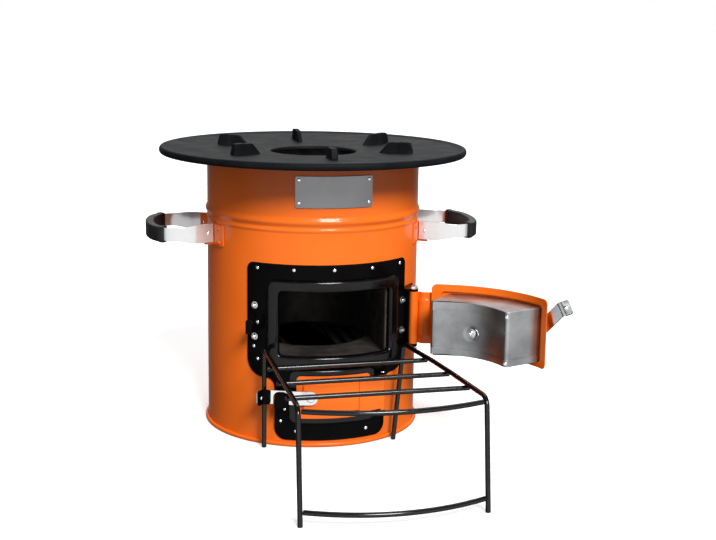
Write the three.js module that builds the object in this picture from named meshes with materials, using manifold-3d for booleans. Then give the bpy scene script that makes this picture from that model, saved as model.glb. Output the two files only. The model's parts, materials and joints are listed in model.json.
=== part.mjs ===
// Rocket stove: an orange steel drum with a T-shaped black front frame, a fuel door and an ash
// door, each with a strap latch, a cast-iron top plate, two carrying handles and a loose fuel rack.
// Millimetres, +Z up. The origin is the middle of the flat underside of the drum, and the front of
// the stove, with both doors, faces -Y. Angles round the drum ("az") are degrees from the front,
// positive towards +X.
import * as THREE from 'three';
import { mergeVertices } from 'three/addons/utils/BufferGeometryUtils.js';
import Module from 'manifold-3d';

const wasm = await Module();
wasm.setup();

// ---------------------------------------------------------------- driving dimensions
const SEG = 72;                 // facets round the drum
const GAP = 0.3;                // clearance between pieces that touch
const DRUM_R = 130;             // outside radius of the drum
const DRUM_T = 1.5;             // sheet thickness of the drum
const DRUM_TOP = 334;           // top edge of the drum
const PAN_R = 133.6;            // rolled rim of the base pan
const BEADS = [[258.4, 3.2, 0.9], [268.2, 6.2, 2.2]];   // rolled beads: crest height, half width, depth
const PLATE_R = 187.8;          // radius of the cast-iron top plate
const PLATE_HOLE_R = 52;        // flue opening in the plate
const FIN_COUNT = 6;            // radial pot supports
const FIN_TOP = 352.6;          // height of the pot supports
const RISER_R = 68;             // inside radius of the combustion tube
const RISER_T = 2;
const FRAME_R = 130.3;          // inner radius of the front frame plate
const FRAME_T = 1.4;
const COLLAR_R0 = 132.0;        // raised collars round the two openings
const COLLAR_R1 = 137.6;
const FUEL = { a0: -28, a1: 31.5, z0: 111, z1: 187.5 };     // fuel opening
const ASH = { a0: -17, a1: 17.5, z0: 42, z1: 84 };          // ash opening
const DOOR_R = 138.2;           // inside radius of both door panels
const DOOR_T = 1.2;
const HINGE = [103.0, -105.9];  // axis of the fuel door
const DOOR_OPEN = 131;          // degrees the fuel door stands open
const FUEL_DOOR = { a0: -28.7, a1: 36.3, z0: 108.5, z1: 190.1 };
const ASH_HINGE = [60.2, -128.4];  // axis of the ash door
const ASH_DOOR = { a0: -18.4, a1: 18.6, z0: 37.5, z1: 88.8 };
const PRESSED = 3;              // depth to which the middle of each door is pressed out
const STRAP_T = 1.5;            // latch straps
const STRAP_W = 16.8;
const TAB = { length: 11.8, angle: 58 };   // finger tab bent out at the strap's end
const FUEL_LATCH = { az: -19.9, n: 144.2, z: 150.3, bend: 59, lean: 13, keeper: 141.5, grip: 57.8, lift: 37.2 };
const ASH_LATCH = { az: -11.5, n: 143.8, z: 64, bend: 57.5, lean: 10, keeper: 145.9, grip: 47 };
const ROD_R = 2.8;              // rack rod
const RAIL_Z = 119.7;           // middle of the rack rails
const RACK = { rl: [-79.6, -118.0], rr: [77.7, -117.8], fl: [-82.8, -364.3], fr: [115.7, -362.5] };

const D = Math.PI / 180;
const polar = (az, r) => [r * Math.sin(az * D), -r * Math.cos(az * D)];

// ---------------------------------------------------------------- finishes
const orangePaint = () => new THREE.MeshStandardMaterial({ color: 0xf2560f, roughness: 0.22, metalness: 0.1 });
const blackPaint = () => new THREE.MeshStandardMaterial({ color: 0x0b0b0c, roughness: 0.25, metalness: 0.1 });
const castIron = () => new THREE.MeshStandardMaterial({ color: 0x34363a, roughness: 0.62, metalness: 0.7 });
const brightSteel = () => new THREE.MeshStandardMaterial({ color: 0xd6d8db, roughness: 0.16, metalness: 1 });
const brushedSteel = () => new THREE.MeshStandardMaterial({ color: 0xa9b0b6, roughness: 0.36, metalness: 1 });
const greySteel = () => new THREE.MeshStandardMaterial({ color: 0x6d6a67, roughness: 0.55, metalness: 0.8 });
const gripPlastic = () => new THREE.MeshStandardMaterial({ color: 0x1b1b1c, roughness: 0.5, metalness: 0 });
const mineralFill = () => new THREE.MeshStandardMaterial({ color: 0xcfc8b8, roughness: 0.95, metalness: 0 });

// ---------------------------------------------------------------- solids
function solid(geometry) {
  const bare = geometry.clone();
  for (const name of Object.keys(bare.attributes)) if (name !== 'position') bare.deleteAttribute(name);
  const merged = mergeVertices(bare, 1e-4);
  const p = merged.attributes.position;
  const src = merged.index.array;
  const tri = [];
  let volume = 0;
  const a = new THREE.Vector3(), b = new THREE.Vector3(), c = new THREE.Vector3();
  for (let i = 0; i < src.length; i += 3) {
    const [i0, i1, i2] = [src[i], src[i + 1], src[i + 2]];
    if (i0 === i1 || i1 === i2 || i2 === i0) continue;
    tri.push(i0, i1, i2);
    a.fromBufferAttribute(p, i0); b.fromBufferAttribute(p, i1); c.fromBufferAttribute(p, i2);
    volume += a.dot(b.cross(c)) / 6;
  }
  if (volume < 0) for (let i = 0; i < tri.length; i += 3) [tri[i + 1], tri[i + 2]] = [tri[i + 2], tri[i + 1]];
  return new wasm.Manifold(new wasm.Mesh({
    numProp: 3, vertProperties: new Float32Array(p.array), triVerts: new Uint32Array(tri),
  }));
}

function toGeometry(body) {
  const m = body.getMesh();
  const geometry = new THREE.BufferGeometry();
  const n = m.vertProperties.length / m.numProp;
  const pos = new Float32Array(n * 3);
  for (let i = 0; i < n; i++) for (let k = 0; k < 3; k++) pos[3 * i + k] = m.vertProperties[i * m.numProp + k];
  geometry.setAttribute('position', new THREE.BufferAttribute(pos, 3));
  geometry.setIndex(new THREE.BufferAttribute(new Uint32Array(m.triVerts), 1));
  const flat = geometry.toNonIndexed();
  flat.computeVertexNormals();
  return flat;
}

// Ring turned round the Z axis from a closed [r, z] profile.
function turned(profile, seg = SEG) {
  const pts = profile.map(([r, z]) => new THREE.Vector2(r, z));
  if (profile[0][0] !== 0 || profile[profile.length - 1][0] !== 0) pts.push(pts[0].clone());
  const g = new THREE.LatheGeometry(pts, seg);
  g.rotateX(Math.PI / 2);
  return solid(g);
}
const band = (r0, r1, z0, z1, seg = SEG) => turned([[r0, z0], [r1, z0], [r1, z1], [r0, z1]], seg);

// Outline with rounded corners from [x, y, radius] corners, given anticlockwise.
function outline(corners, steps = 4) {
  const pts = [];
  const n = corners.length;
  for (let i = 0; i < n; i++) {
    const [x, y, r = 0] = corners[i];
    if (!r) { pts.push(new THREE.Vector2(x, y)); continue; }
    const p = new THREE.Vector2(x, y);
    const u = new THREE.Vector2(corners[(i + n - 1) % n][0] - x, corners[(i + n - 1) % n][1] - y).normalize();
    const v = new THREE.Vector2(corners[(i + 1) % n][0] - x, corners[(i + 1) % n][1] - y).normalize();
    const half = Math.acos(THREE.MathUtils.clamp(u.dot(v), -1, 1)) / 2;
    const reach = r / Math.tan(half);
    const c = u.clone().add(v).normalize().multiplyScalar(r / Math.sin(half)).add(p);
    const s = u.clone().multiplyScalar(reach).add(p).sub(c);
    const e = v.clone().multiplyScalar(reach).add(p).sub(c);
    const a0 = Math.atan2(s.y, s.x);
    let da = Math.atan2(e.y, e.x) - a0;
    while (da > Math.PI) da -= 2 * Math.PI;
    while (da < -Math.PI) da += 2 * Math.PI;
    for (let k = 0; k <= steps; k++) pts.push(new THREE.Vector2(c.x + r * Math.cos(a0 + da * k / steps), c.y + r * Math.sin(a0 + da * k / steps)));
  }
  return pts;
}
const box2 = (x0, y0, x1, y1, r = 0) => [[x0, y0, r], [x1, y0, r], [x1, y1, r], [x0, y1, r]];

// Prism over an outline in the XY plane, from z0 to z1.
function prism(points, z0, z1, holes = []) {
  const shape = new THREE.Shape(points);
  for (const h of holes) shape.holes.push(new THREE.Path(h));
  const g = new THREE.ExtrudeGeometry(shape, { depth: z1 - z0, bevelEnabled: false, steps: 1 });
  g.translate(0, 0, z0);
  return solid(g);
}
// Cutter over an outline drawn in the XZ plane, reaching from y = -60 to y = -200.
function frontCutter(points) {
  const g = new THREE.ExtrudeGeometry(new THREE.Shape(points), { depth: 140, bevelEnabled: false, steps: 1 });
  g.rotateX(Math.PI / 2);
  g.translate(0, -60, 0);
  return solid(g);
}
// Corners of a patch of the drum between two azimuths, unrolled on the XZ plane at radius r.
const patch = (r, a0, a1, z0, z1, rad) => box2(r * Math.sin(a0 * D), z0, r * Math.sin(a1 * D), z1, rad);
// Curved plate: ring between two radii cut to a front outline.
function curvedPlate(r0, r1, corners, steps = 4) {
  const z = corners.map((c) => c[1]);
  return band(r0, r1, Math.min(...z) - 1, Math.max(...z) + 1).intersect(frontCutter(outline(corners, steps)));
}
// Disc or hexagon standing on the drum, its axis pointing outwards.
function stud(az, r, z, radius, height, sides = 12, top = radius) {
  const g = new THREE.CylinderGeometry(top, radius, height, sides);
  g.rotateX(Math.PI / 2);
  g.translate(0, 0, height / 2);
  g.rotateX(Math.PI / 2);
  g.rotateZ(az * D);
  const [x, y] = polar(az, r);
  g.translate(x, y, z);
  return solid(g);
}
function pin(x, y, z0, z1, radius, sides = 16) {
  const g = new THREE.CylinderGeometry(radius, radius, z1 - z0, sides);
  g.rotateX(Math.PI / 2);
  g.translate(x, y, (z0 + z1) / 2);
  return solid(g);
}
function block(cx, cy, cz, dx, dy, dz) {
  const g = new THREE.BoxGeometry(dx, dy, dz);
  g.translate(cx, cy, cz);
  return solid(g);
}

// Polyline path for swept rods: each corner is a vertex of the sweep.
class RodPath extends THREE.Curve {
  constructor(points) { super(); this.points = points; }
  at(u) {
    const s = u * (this.points.length - 1);
    const i = Math.min(this.points.length - 2, Math.floor(s + 1e-9));
    return [i, s - i];
  }
  getPoint(u, target = new THREE.Vector3()) {
    const [i, f] = this.at(u);
    return target.copy(this.points[i]).lerp(this.points[i + 1], Math.min(1, Math.max(0, f)));
  }
  getPointAt(u, target) { return this.getPoint(u, target); }
  getTangentAt(u, target = new THREE.Vector3()) {
    const i = Math.round(u * (this.points.length - 1));
    const a = this.points[Math.max(0, i - 1)], p = this.points[i], b = this.points[Math.min(this.points.length - 1, i + 1)];
    const t = new THREE.Vector3();
    if (i > 0) t.add(p.clone().sub(a).normalize());
    if (i < this.points.length - 1) t.add(b.clone().sub(p).normalize());
    return target.copy(t.normalize());
  }
}
// Round rod through [x, y, z, bend radius] corners.
function rod(corners, radius, sides = 8, bend = 3) {
  const pts = [];
  corners.forEach(([x, y, z, r = 0], i) => {
    const p = new THREE.Vector3(x, y, z);
    if (!r) { pts.push(p); return; }
    const u = new THREE.Vector3(...corners[i - 1].slice(0, 3)).sub(p).normalize();
    const v = new THREE.Vector3(...corners[i + 1].slice(0, 3)).sub(p).normalize();
    const half = Math.acos(THREE.MathUtils.clamp(u.dot(v), -1, 1)) / 2;
    const reach = r / Math.tan(half);
    const c = u.clone().add(v).normalize().multiplyScalar(r / Math.sin(half)).add(p);
    const s = u.clone().multiplyScalar(reach).add(p).sub(c);
    const e = v.clone().multiplyScalar(reach).add(p).sub(c);
    const w = Math.PI - 2 * half;
    for (let k = 0; k <= bend; k++) {
      const f = k / bend;
      pts.push(s.clone().multiplyScalar(Math.sin((1 - f) * w) / Math.sin(w)).add(e.clone().multiplyScalar(Math.sin(f * w) / Math.sin(w))).add(c));
    }
  });
  const ringPts = [];
  for (let k = 0; k < sides; k++) ringPts.push(new THREE.Vector2(radius * Math.cos((k + 0.5) / sides * 2 * Math.PI), radius * Math.sin((k + 0.5) / sides * 2 * Math.PI)));
  return solid(new THREE.ExtrudeGeometry(new THREE.Shape(ringPts), { steps: pts.length - 1, bevelEnabled: false, extrudePath: new RodPath(pts) }));
}
// Flat bar on edge: polyline in XY made thickness t wide, between z0 and z1.
function ribbon(points, t, z0, z1) {
  const left = [], right = [];
  points.forEach(([x, y], i) => {
    const a = points[Math.max(0, i - 1)], b = points[Math.min(points.length - 1, i + 1)];
    const t0 = new THREE.Vector2(x - a[0], y - a[1]).normalize();
    const t1 = new THREE.Vector2(b[0] - x, b[1] - y).normalize();
    const m = t0.clone().add(t1).normalize();
    const n = new THREE.Vector2(-m.y, m.x);
    const k = i === 0 || i === points.length - 1 ? 1 : 1 / Math.max(0.5, n.dot(new THREE.Vector2(-t1.y, t1.x)));
    left.push(new THREE.Vector2(x + n.x * k * t / 2, y + n.y * k * t / 2));
    right.push(new THREE.Vector2(x - n.x * k * t / 2, y - n.y * k * t / 2));
  });
  return prism([...left, ...right.reverse()], z0, z1);
}
const smooth = (points, count) => new THREE.CatmullRomCurve3(points.map(([x, y]) => new THREE.Vector3(x, y, 0)), false, 'centripetal')
  .getPoints(count).map((p) => [p.x, p.y]);

const stove = new THREE.Group();
function add(parent, name, body, material) {
  const mesh = new THREE.Mesh(toGeometry(body), material);
  mesh.name = name;
  parent.add(mesh);
  return mesh;
}

// ---------------------------------------------------------------- drum, pan and lining
const shellProfile = [[DRUM_R - DRUM_T, 1.9], [DRUM_R, 1.9]];
for (const [z, w, h] of BEADS) {
  shellProfile.push([DRUM_R, z - w], [DRUM_R + h * 0.72, z - w * 0.45], [DRUM_R + h, z], [DRUM_R + h * 0.72, z + w * 0.45], [DRUM_R, z + w]);
}
shellProfile.push([DRUM_R, DRUM_TOP], [DRUM_R - DRUM_T, DRUM_TOP]);
const fuelHole = frontCutter(outline(patch(DRUM_R, FUEL.a0 - 1, FUEL.a1 + 1, FUEL.z0 - 2, FUEL.z1 + 2, 4)));
const ashHole = frontCutter(outline(patch(DRUM_R, ASH.a0 - 1, ASH.a1 + 1, ASH.z0 - 2, ASH.z1 + 2, 4)));
add(stove, 'drum_shell', turned(shellProfile).subtract(fuelHole).subtract(ashHole), orangePaint());

add(stove, 'base_pan', turned([
  [0, 0], [131.6, 0], [133.1, 1.0], [PAN_R, 2.8], [133.1, 4.6], [131.9, 5.6], [130.7, 5.2], [130.4, 3.6], [130.4, 1.6], [0, 1.6],
]), orangePaint());

const FUEL_DUCT = { x0: -61.5, x1: 66, z0: 107, z1: 190.5 };
const ASH_DUCT = { x0: -38, x1: 39, z0: 38, z1: 85 };
const DUCT_T = 1.5;
const prismXZ = (q, grow) => frontCutter(outline(box2(q.x0 - grow, q.z0 - grow, q.x1 + grow, q.z1 + grow)))
  .add(block((q.x0 + q.x1) / 2, -31, (q.z0 + q.z1) / 2, q.x1 - q.x0 + 2 * grow, 60, q.z1 - q.z0 + 2 * grow));
const RISER_Z0 = 30.3;
const RISER_Z1 = 332.2;
const CHAMBER_TOP = 200;
const riserEnvelope = pin(0, 0, RISER_Z0 - GAP, 400, RISER_R + RISER_T + GAP, 48);
const inside = pin(0, 0, 0, 340, DRUM_R - DRUM_T - 0.4, SEG);
const duct = (q) => prismXZ(q, DUCT_T).subtract(prismXZ(q, 0)).intersect(inside).subtract(riserEnvelope);
add(stove, 'insulation_fill', pin(0, 0, 2.1, 325.9, DRUM_R - DRUM_T - 0.4, SEG)
  .subtract(riserEnvelope).subtract(prismXZ(FUEL_DUCT, DUCT_T + GAP)).subtract(prismXZ(ASH_DUCT, DUCT_T + GAP)), mineralFill());
// The lower tube has both duct mouths; the plain upper tube stands on it.
add(stove, 'combustion_chamber', band(RISER_R, RISER_R + RISER_T, RISER_Z0, CHAMBER_TOP, 48)
  .subtract(prismXZ(FUEL_DUCT, 0)).subtract(prismXZ(ASH_DUCT, 0)), greySteel());
add(stove, 'riser_tube', band(RISER_R, RISER_R + RISER_T, CHAMBER_TOP + GAP, RISER_Z1, 48), greySteel());
add(stove, 'feed_tunnel', duct(FUEL_DUCT), greySteel());
add(stove, 'ash_tunnel', duct(ASH_DUCT), greySteel());
add(stove, 'ash_floor', pin(0, 0, RISER_Z0 + 0.3, RISER_Z0 + 2.3, RISER_R - GAP, 40), greySteel());
const slots = [];
for (let i = -3; i <= 3; i++) {
  const h = Math.sqrt(60 * 60 - (i * 16) ** 2) - 2;
  slots.push(outline(box2(i * 16 - 4, -h, i * 16 + 4, h)).reverse());
}
const disc = (r, n) => Array.from({ length: n }, (_, k) => new THREE.Vector2(r * Math.cos(k / n * 2 * Math.PI), r * Math.sin(k / n * 2 * Math.PI)));
add(stove, 'fire_grate', prism(disc(RISER_R - GAP, 40), 101, 104.5, slots), castIron());
add(stove, 'top_cover_ring', band(RISER_R + RISER_T + GAP, DRUM_R - DRUM_T - 0.4, 326.2, 327.8, 48), greySteel());

// ---------------------------------------------------------------- front frame
const FW = FRAME_R + FRAME_T;   // outer face of the frame
const sx = (az, r = FW) => r * Math.sin(az * D);
const frameCorners = [
  [sx(-30.5), 8, 14], [sx(30.5), 8, 14], [sx(30.5), 82, 10], [sx(46.5), 82, 20], [sx(46.5), 219, 8],
  [sx(-46.5), 219, 8], [sx(-46.5), 82, 20], [sx(-30.5), 82, 10],
];
const fuelGap = frontCutter(outline(patch(COLLAR_R0, FUEL.a0, FUEL.a1, FUEL.z0, FUEL.z1, 5)));
const ashGap = frontCutter(outline(patch(COLLAR_R0, ASH.a0, ASH.a1, ASH.z0, ASH.z1, 5)));
add(stove, 'door_frame', curvedPlate(FRAME_R, FW, frameCorners, 5).subtract(fuelGap).subtract(ashGap), blackPaint());
add(stove, 'upper_collar', curvedPlate(COLLAR_R0, COLLAR_R1, patch(COLLAR_R1, -34, 38, 98, 201, 10), 5).subtract(fuelGap), blackPaint());
add(stove, 'lower_collar', curvedPlate(COLLAR_R0, COLLAR_R1 - 0.4, patch(COLLAR_R1, -22.7, 22.6, 30, 95.5, 9), 5).subtract(ashGap), blackPaint());

// Name plate, bare, held by four rivets.
let plate = curvedPlate(DRUM_R + GAP, DRUM_R + 1.3, patch(DRUM_R, -20.3, 20.3, 285, 322, 2), 2);
for (const az of [-18.3, 18.3]) for (const z of [291.2, 317.6]) plate = plate.add(stud(az, DRUM_R + 0.8, z, 2, 1.6, 10, 1.3));
add(stove, 'name_plate', plate, brushedSteel());

// Hexagon nuts that hold the frame.
[[-41.8, 168, 'left_upper'], [-41.8, 130.4, 'left_lower'], [43.6, 167, 'right_upper'], [43.6, 130, 'right_lower']]
  .forEach(([az, z, side]) => add(stove, `frame_nut_${side}`, stud(az, FW + GAP, z, 3.6, 2.6, 6), brightSteel()));

// ---------------------------------------------------------------- fuel door hinge on the drum
const ROD = 2.6;                // hinge rod radius
function lug(hinge, az0, az1, r, z0, z1, reach, hole) {
  const [ax, ay] = polar(az0, r), [bx, by] = polar(az1, r);
  const dir = Math.atan2(hinge[1], hinge[0]);
  const pts = [new THREE.Vector2(ax, ay)];
  for (let k = -4; k <= 4; k++) pts.push(new THREE.Vector2(hinge[0] + reach * Math.cos(dir + k * 22.5 * D), hinge[1] + reach * Math.sin(dir + k * 22.5 * D)));
  pts.push(new THREE.Vector2(bx, by));
  return prism(pts, z0, z1).subtract(pin(hinge[0], hinge[1], z0 - 1, z1 + 1, hole));
}
const backPlate = (a0, a1, z0, z1, r0, t) => {
  const h = (a1 - a0) / 2, g = frontCutter(outline(box2(sx(-h, r0), z0, sx(h, r0), z1, 2), 2)).rotate([0, 0, (a0 + a1) / 2]);
  return band(r0, r0 + t, z0 - 1, z1 + 1).intersect(g);
};
add(stove, 'upper_hinge_bracket', backPlate(47.3, 57, 112.6, 182.4, DRUM_R + GAP, 1.5)
  .add(lug(HINGE, 41, 53, DRUM_R + 2.1, 180.2, 182.4, 5.2, ROD + GAP).subtract(pin(0, 0, 170, 190, DRUM_R + 2.0, SEG)))
  .add(lug(HINGE, 41, 53, DRUM_R + 2.1, 112.6, 114.8, 5.2, ROD + GAP).subtract(pin(0, 0, 105, 120, DRUM_R + 2.0, SEG)))
  .add(block(0, -(DRUM_R + 1.7), 147.5, 3, 2.2, 69.8).rotate([0, 0, 50])), blackPaint());
add(stove, 'upper_hinge_rod', pin(HINGE[0], HINGE[1], 109.2, 187.0, ROD), brightSteel());
const hexRing = (x, y, z0, z1, r, hole) => {
  const g = new THREE.CylinderGeometry(r, r, z1 - z0, 6); g.rotateX(Math.PI / 2); g.translate(x, y, (z0 + z1) / 2);
  return solid(g).subtract(pin(x, y, z0 - 1, z1 + 1, hole));
};
add(stove, 'hinge_rod_nut_top', hexRing(HINGE[0], HINGE[1], 182.7, 186.4, 4.6, ROD + GAP), brightSteel());
add(stove, 'hinge_rod_nut_bottom', hexRing(HINGE[0], HINGE[1], 109.6, 112.3, 4.6, ROD + GAP), brightSteel());

// ---------------------------------------------------------------- latch keepers
// Both keepers are drawn in their latch's own plane: u runs along the closed strap, n outwards.
const inPlane = (az, u, n) => { const a = az * D; return [n * Math.sin(a) - u * Math.cos(a), -n * Math.cos(a) - u * Math.sin(a)]; };
function keeper(latch, u0, u1, web, lipTop, foot, inset = 0) {
  const [z0, z1] = web, n1 = latch.keeper, t = 2.0;
  const corners = [[u0 + inset, 100], [u1, 100], [u1, n1], [u0 + inset, n1]].map(([u, n]) => new THREE.Vector2(...inPlane(latch.az, u, n)));
  const shelf = prism(corners, z0, z1).subtract(pin(0, 0, z0 - 1, z1 + 1, FW + GAP, SEG));
  const a = latch.az * D;
  const place = (g) => solid(g.rotateX(Math.PI / 2).rotateZ(a).translate(n1 * Math.sin(a), -n1 * Math.cos(a), 0));
  const w = (u1 - u0) / 2;
  const lipShape = new THREE.Shape(outline([[-u1, z0], [-u0, z0], [-u0, lipTop, w - 0.5], [-u1, lipTop, w - 0.5]], 4));
  const lip = place(new THREE.ExtrudeGeometry(lipShape, { depth: t, bevelEnabled: false }).translate(0, 0, -t));
  const footPlate = band(FW + GAP, FW + 1.7, foot[0], foot[1])
    .intersect(prism(corners, foot[0] - 1, foot[1] + 1));
  return shelf.add(lip).add(footPlate);
}
add(stove, 'upper_latch_keeper', keeper(FUEL_LATCH, 48.8, 56.2, [137.4, 140.2], 154.5, [137.4, 158]), blackPaint());
add(stove, 'lower_latch_keeper', keeper(ASH_LATCH, 26.8, 42.4, [52.2, 55.0], 69.6, [22, 55.0], 2.4), blackPaint());

// ---------------------------------------------------------------- ash door hinge on the drum
const PIN = 1.9;
add(stove, 'lower_hinge_bracket', backPlate(24.4, 29.6, 37.5, 88.5, FW + GAP, 1.4)
  .add(lug(ASH_HINGE, 24.6, 29.4, FW + 0.9, 85.4, 87.4, 3.7, PIN + GAP).subtract(pin(0, 0, 80, 95, FW + 0.6, SEG)))
  .add(lug(ASH_HINGE, 24.6, 29.4, FW + 0.9, 39.4, 41.4, 3.7, PIN + GAP).subtract(pin(0, 0, 35, 50, FW + 0.6, SEG))), blackPaint());
add(stove, 'lower_hinge_pin', pin(ASH_HINGE[0], ASH_HINGE[1], 38.6, 89.2, PIN, 12)
  .add(pin(ASH_HINGE[0], ASH_HINGE[1], 87.8, 89.2, 3.2, 12)), brightSteel());

// ---------------------------------------------------------------- carrying handles
const HANDLE_TURN = -3.5;       // degrees that the pair sits off square to the doors
// Both ends of the strap lie flat against the flanges of the brackets.
const handleHalf = [[126.3, -41.6], [131, -44], [136, -46.5], [142.5, -49.7], [151, -53.6], [162, -56.6], [173.7, -56.4], [187, -49.5], [195.4, -34], [199.2, -16]];
const handlePath = smooth([...handleHalf, [199.8, 0], ...handleHalf.map(([x, y]) => [x, -y]).reverse()], 46);
const taper = solid(new THREE.ExtrudeGeometry(new THREE.Shape([[120, 232], [141, 232], [172, 236.3], [215, 236.3], [215, 252], [172, 252], [141, 254.6], [120, 254.6]]
  .map(([x, z]) => new THREE.Vector2(x, z))), { depth: 200, bevelEnabled: false }).rotateX(Math.PI / 2).translate(0, 100, 0));
const gripRun = handlePath.filter(([x]) => x > 182);
for (const [side, s] of [['right', 1], ['left', -1]]) {
  const place = (body) => (s === 1 ? body : body.mirror([1, 0, 0])).rotate([0, 0, HANDLE_TURN]);
  add(stove, `${side}_handle_strap`, place(ribbon(handlePath, 2.2, 225, 260).intersect(taper)), brightSteel());
  add(stove, `${side}_handle_grip`, place(ribbon(gripRun, 11.5, 234.4, 253.9).subtract(ribbon(handlePath, 2.2 + 2 * GAP, 236.3 - GAP, 252 + GAP))), gripPlastic());
  for (const [end, m] of [['front', 1], ['rear', -1]]) {
    // Riveted plate with one flange folded out, which the strap end is fixed to.
    const foot = backPlate(61.5, 75.4, 229.4, 254.4, DRUM_R + GAP, 1.5);
    const flange = ribbon([[125.4, -38.5], [136.2, -44.05]], 1.8, 229.4, 254.4);
    const body = foot.add(flange).subtract(ribbon(handlePath, 2.2 + 2 * GAP, 220, 265));
    add(stove, `${side}_handle_bracket_${end}`, place(m === 1 ? body : body.mirror([0, 1, 0])), orangePaint());
  }
}

// ---------------------------------------------------------------- cast-iron top plate
let iron = turned([
  [PLATE_HOLE_R, 333.4], [123.5, 333.4], [123.5, 328.6], [126.4, 328.6], [126.4, 334.5], [183, 334.5], [186.6, 335.6], [PLATE_R, 338.9],
  [187, 342], [184.4, 343.3], [180.4, 342.5], [176, 340.8], [120, 339.5], [90, 338.4], [56, 337.2], [PLATE_HOLE_R, 335.6],
]);
for (let i = 0; i < FIN_COUNT; i++) {
  const rib = solid(new THREE.ExtrudeGeometry(new THREE.Shape([[85, 335], [123, 335], [123, 352], [97, 352], [85, 339.6]]
    .map(([r, z]) => new THREE.Vector2(r, z))), { depth: 5.5, bevelEnabled: false }).rotateX(Math.PI / 2).translate(0, 2.75, 0));
  const knob = solid(new THREE.ExtrudeGeometry(new THREE.Shape(outline([[110, 336], [126, 336], [122.8, FIN_TOP, 1.6], [110, FIN_TOP, 1]], 3)),
    { depth: 8, bevelEnabled: false }).rotateX(Math.PI / 2).translate(0, 4, 0));
  iron = iron.add(rib.add(knob).rotate([0, 0, -90 + i * 360 / FIN_COUNT]));
}
add(stove, 'cast_iron_top', iron, castIron());

// ---------------------------------------------------------------- latches
// Local axes of a latch: +Z outwards from the drum, +Y up, and the strap reaches along -X.
function latch(parent, prefix, spec, angle, notch) {
  const holder = new THREE.Group();
  const [x, y] = polar(spec.az, spec.n);
  holder.position.set(x, y, spec.z);
  holder.rotation.set(Math.PI / 2, 0, spec.az * D, 'ZXY');
  const turn = new THREE.Group();
  turn.rotation.z = angle * D;
  holder.add(turn);
  parent.add(holder);
  const w = STRAP_W / 2;
  // Inner face of the strap, seen on edge: flat at the pivot, leaning in past it, then the tab.
  const lean = spec.lean * D, up = TAB.angle * D;
  const bendAt = [-14 - (spec.bend - 14) * Math.cos(lean), -(spec.bend - 14) * Math.sin(lean)];
  const along = (k) => [bendAt[0] + k * Math.cos(lean), bendAt[1] + k * Math.sin(lean)];
  const tip = (k) => [bendAt[0] - k * Math.cos(up), bendAt[1] + k * Math.sin(up)];
  const lifted = (points, d) => points.map(([x, h], i) => {
    const a = points[Math.max(0, i - 1)], b = points[Math.min(points.length - 1, i + 1)];
    const t0 = new THREE.Vector2(x - a[0], h - a[1]).normalize(), t1 = new THREE.Vector2(b[0] - x, b[1] - h).normalize();
    const m = t0.clone().add(t1).normalize(), n = new THREE.Vector2(m.y, -m.x);
    const k = i === 0 || i === points.length - 1 ? 1 : 1 / n.dot(new THREE.Vector2(t1.y, -t1.x));
    return [x + n.x * k * d, h + n.y * k * d];
  });
  const sheet = (points, d, t, half) => ribbon(lifted(points, d), t, -half, half).rotate([90, 0, 0]);
  const plan = [];
  for (let k = -4; k <= 4; k++) plan.push(new THREE.Vector2(w * Math.cos(k * 22.5 * D), w * Math.sin(k * 22.5 * D)));
  const end = tip(TAB.length)[0];
  plan.push(...outline([[0, w], [end - 1.4, w, 3], [end - 1.4, -w, 3], [0, -w]], 3).slice(1, -1));
  let strap = sheet([[w, 0], [-14, 0], bendAt, tip(TAB.length)], STRAP_T / 2, STRAP_T, w).intersect(prism(plan, -30, 30)).subtract(pin(0, 0, -1, 3, 3.1));
  if (notch) strap = strap.subtract(prism(outline([[-notch.u1, -20], [-notch.u0, -20], [-notch.u0, notch.top, 7], [-notch.u1, notch.top, 7]], 4), -30, 30));
  add(turn, `${prefix}_strap`, strap, brightSteel());
  // Black grip plate laid on the outer face of the tab and of the strap's end.
  const grip = sheet([along(spec.bend - spec.grip), bendAt, tip(TAB.length + 0.6)], STRAP_T + GAP + 1, 2, w + 0.5)
    .intersect(prism(outline([[w, -w - 2, 0], [w, w + 2, 0], [end - 3.6, w + 0.5, 3], [end - 3.6, -w - 0.5, 3]], 3), -30, 30));
  add(turn, `${prefix}_grip`, grip, blackPaint());
  // Pivot rivet with a broad head.
  add(turn, `${prefix}_pivot`, pin(0, 0, -0.6, STRAP_T + GAP + 0.4, 2.8, 16).add(solid(new THREE.CylinderGeometry(2.6, 4.6, 1.5, 16)
    .rotateX(Math.PI / 2).translate(0, 0, STRAP_T + GAP + 0.75))), brightSteel());
}

// ---------------------------------------------------------------- fuel door, modelled closed and swung open
const doorPivot = new THREE.Group();
doorPivot.position.set(HINGE[0], HINGE[1], 0);
doorPivot.rotation.z = DOOR_OPEN * D;
const door = new THREE.Group();
door.position.set(-HINGE[0], -HINGE[1], 0);
doorPivot.add(door);
stove.add(doorPivot);

const panelHole = (spec) => stud(spec.az, DOOR_R - 3, spec.z, 3.1, 8, 16);
const fp = FUEL_DOOR;
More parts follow.
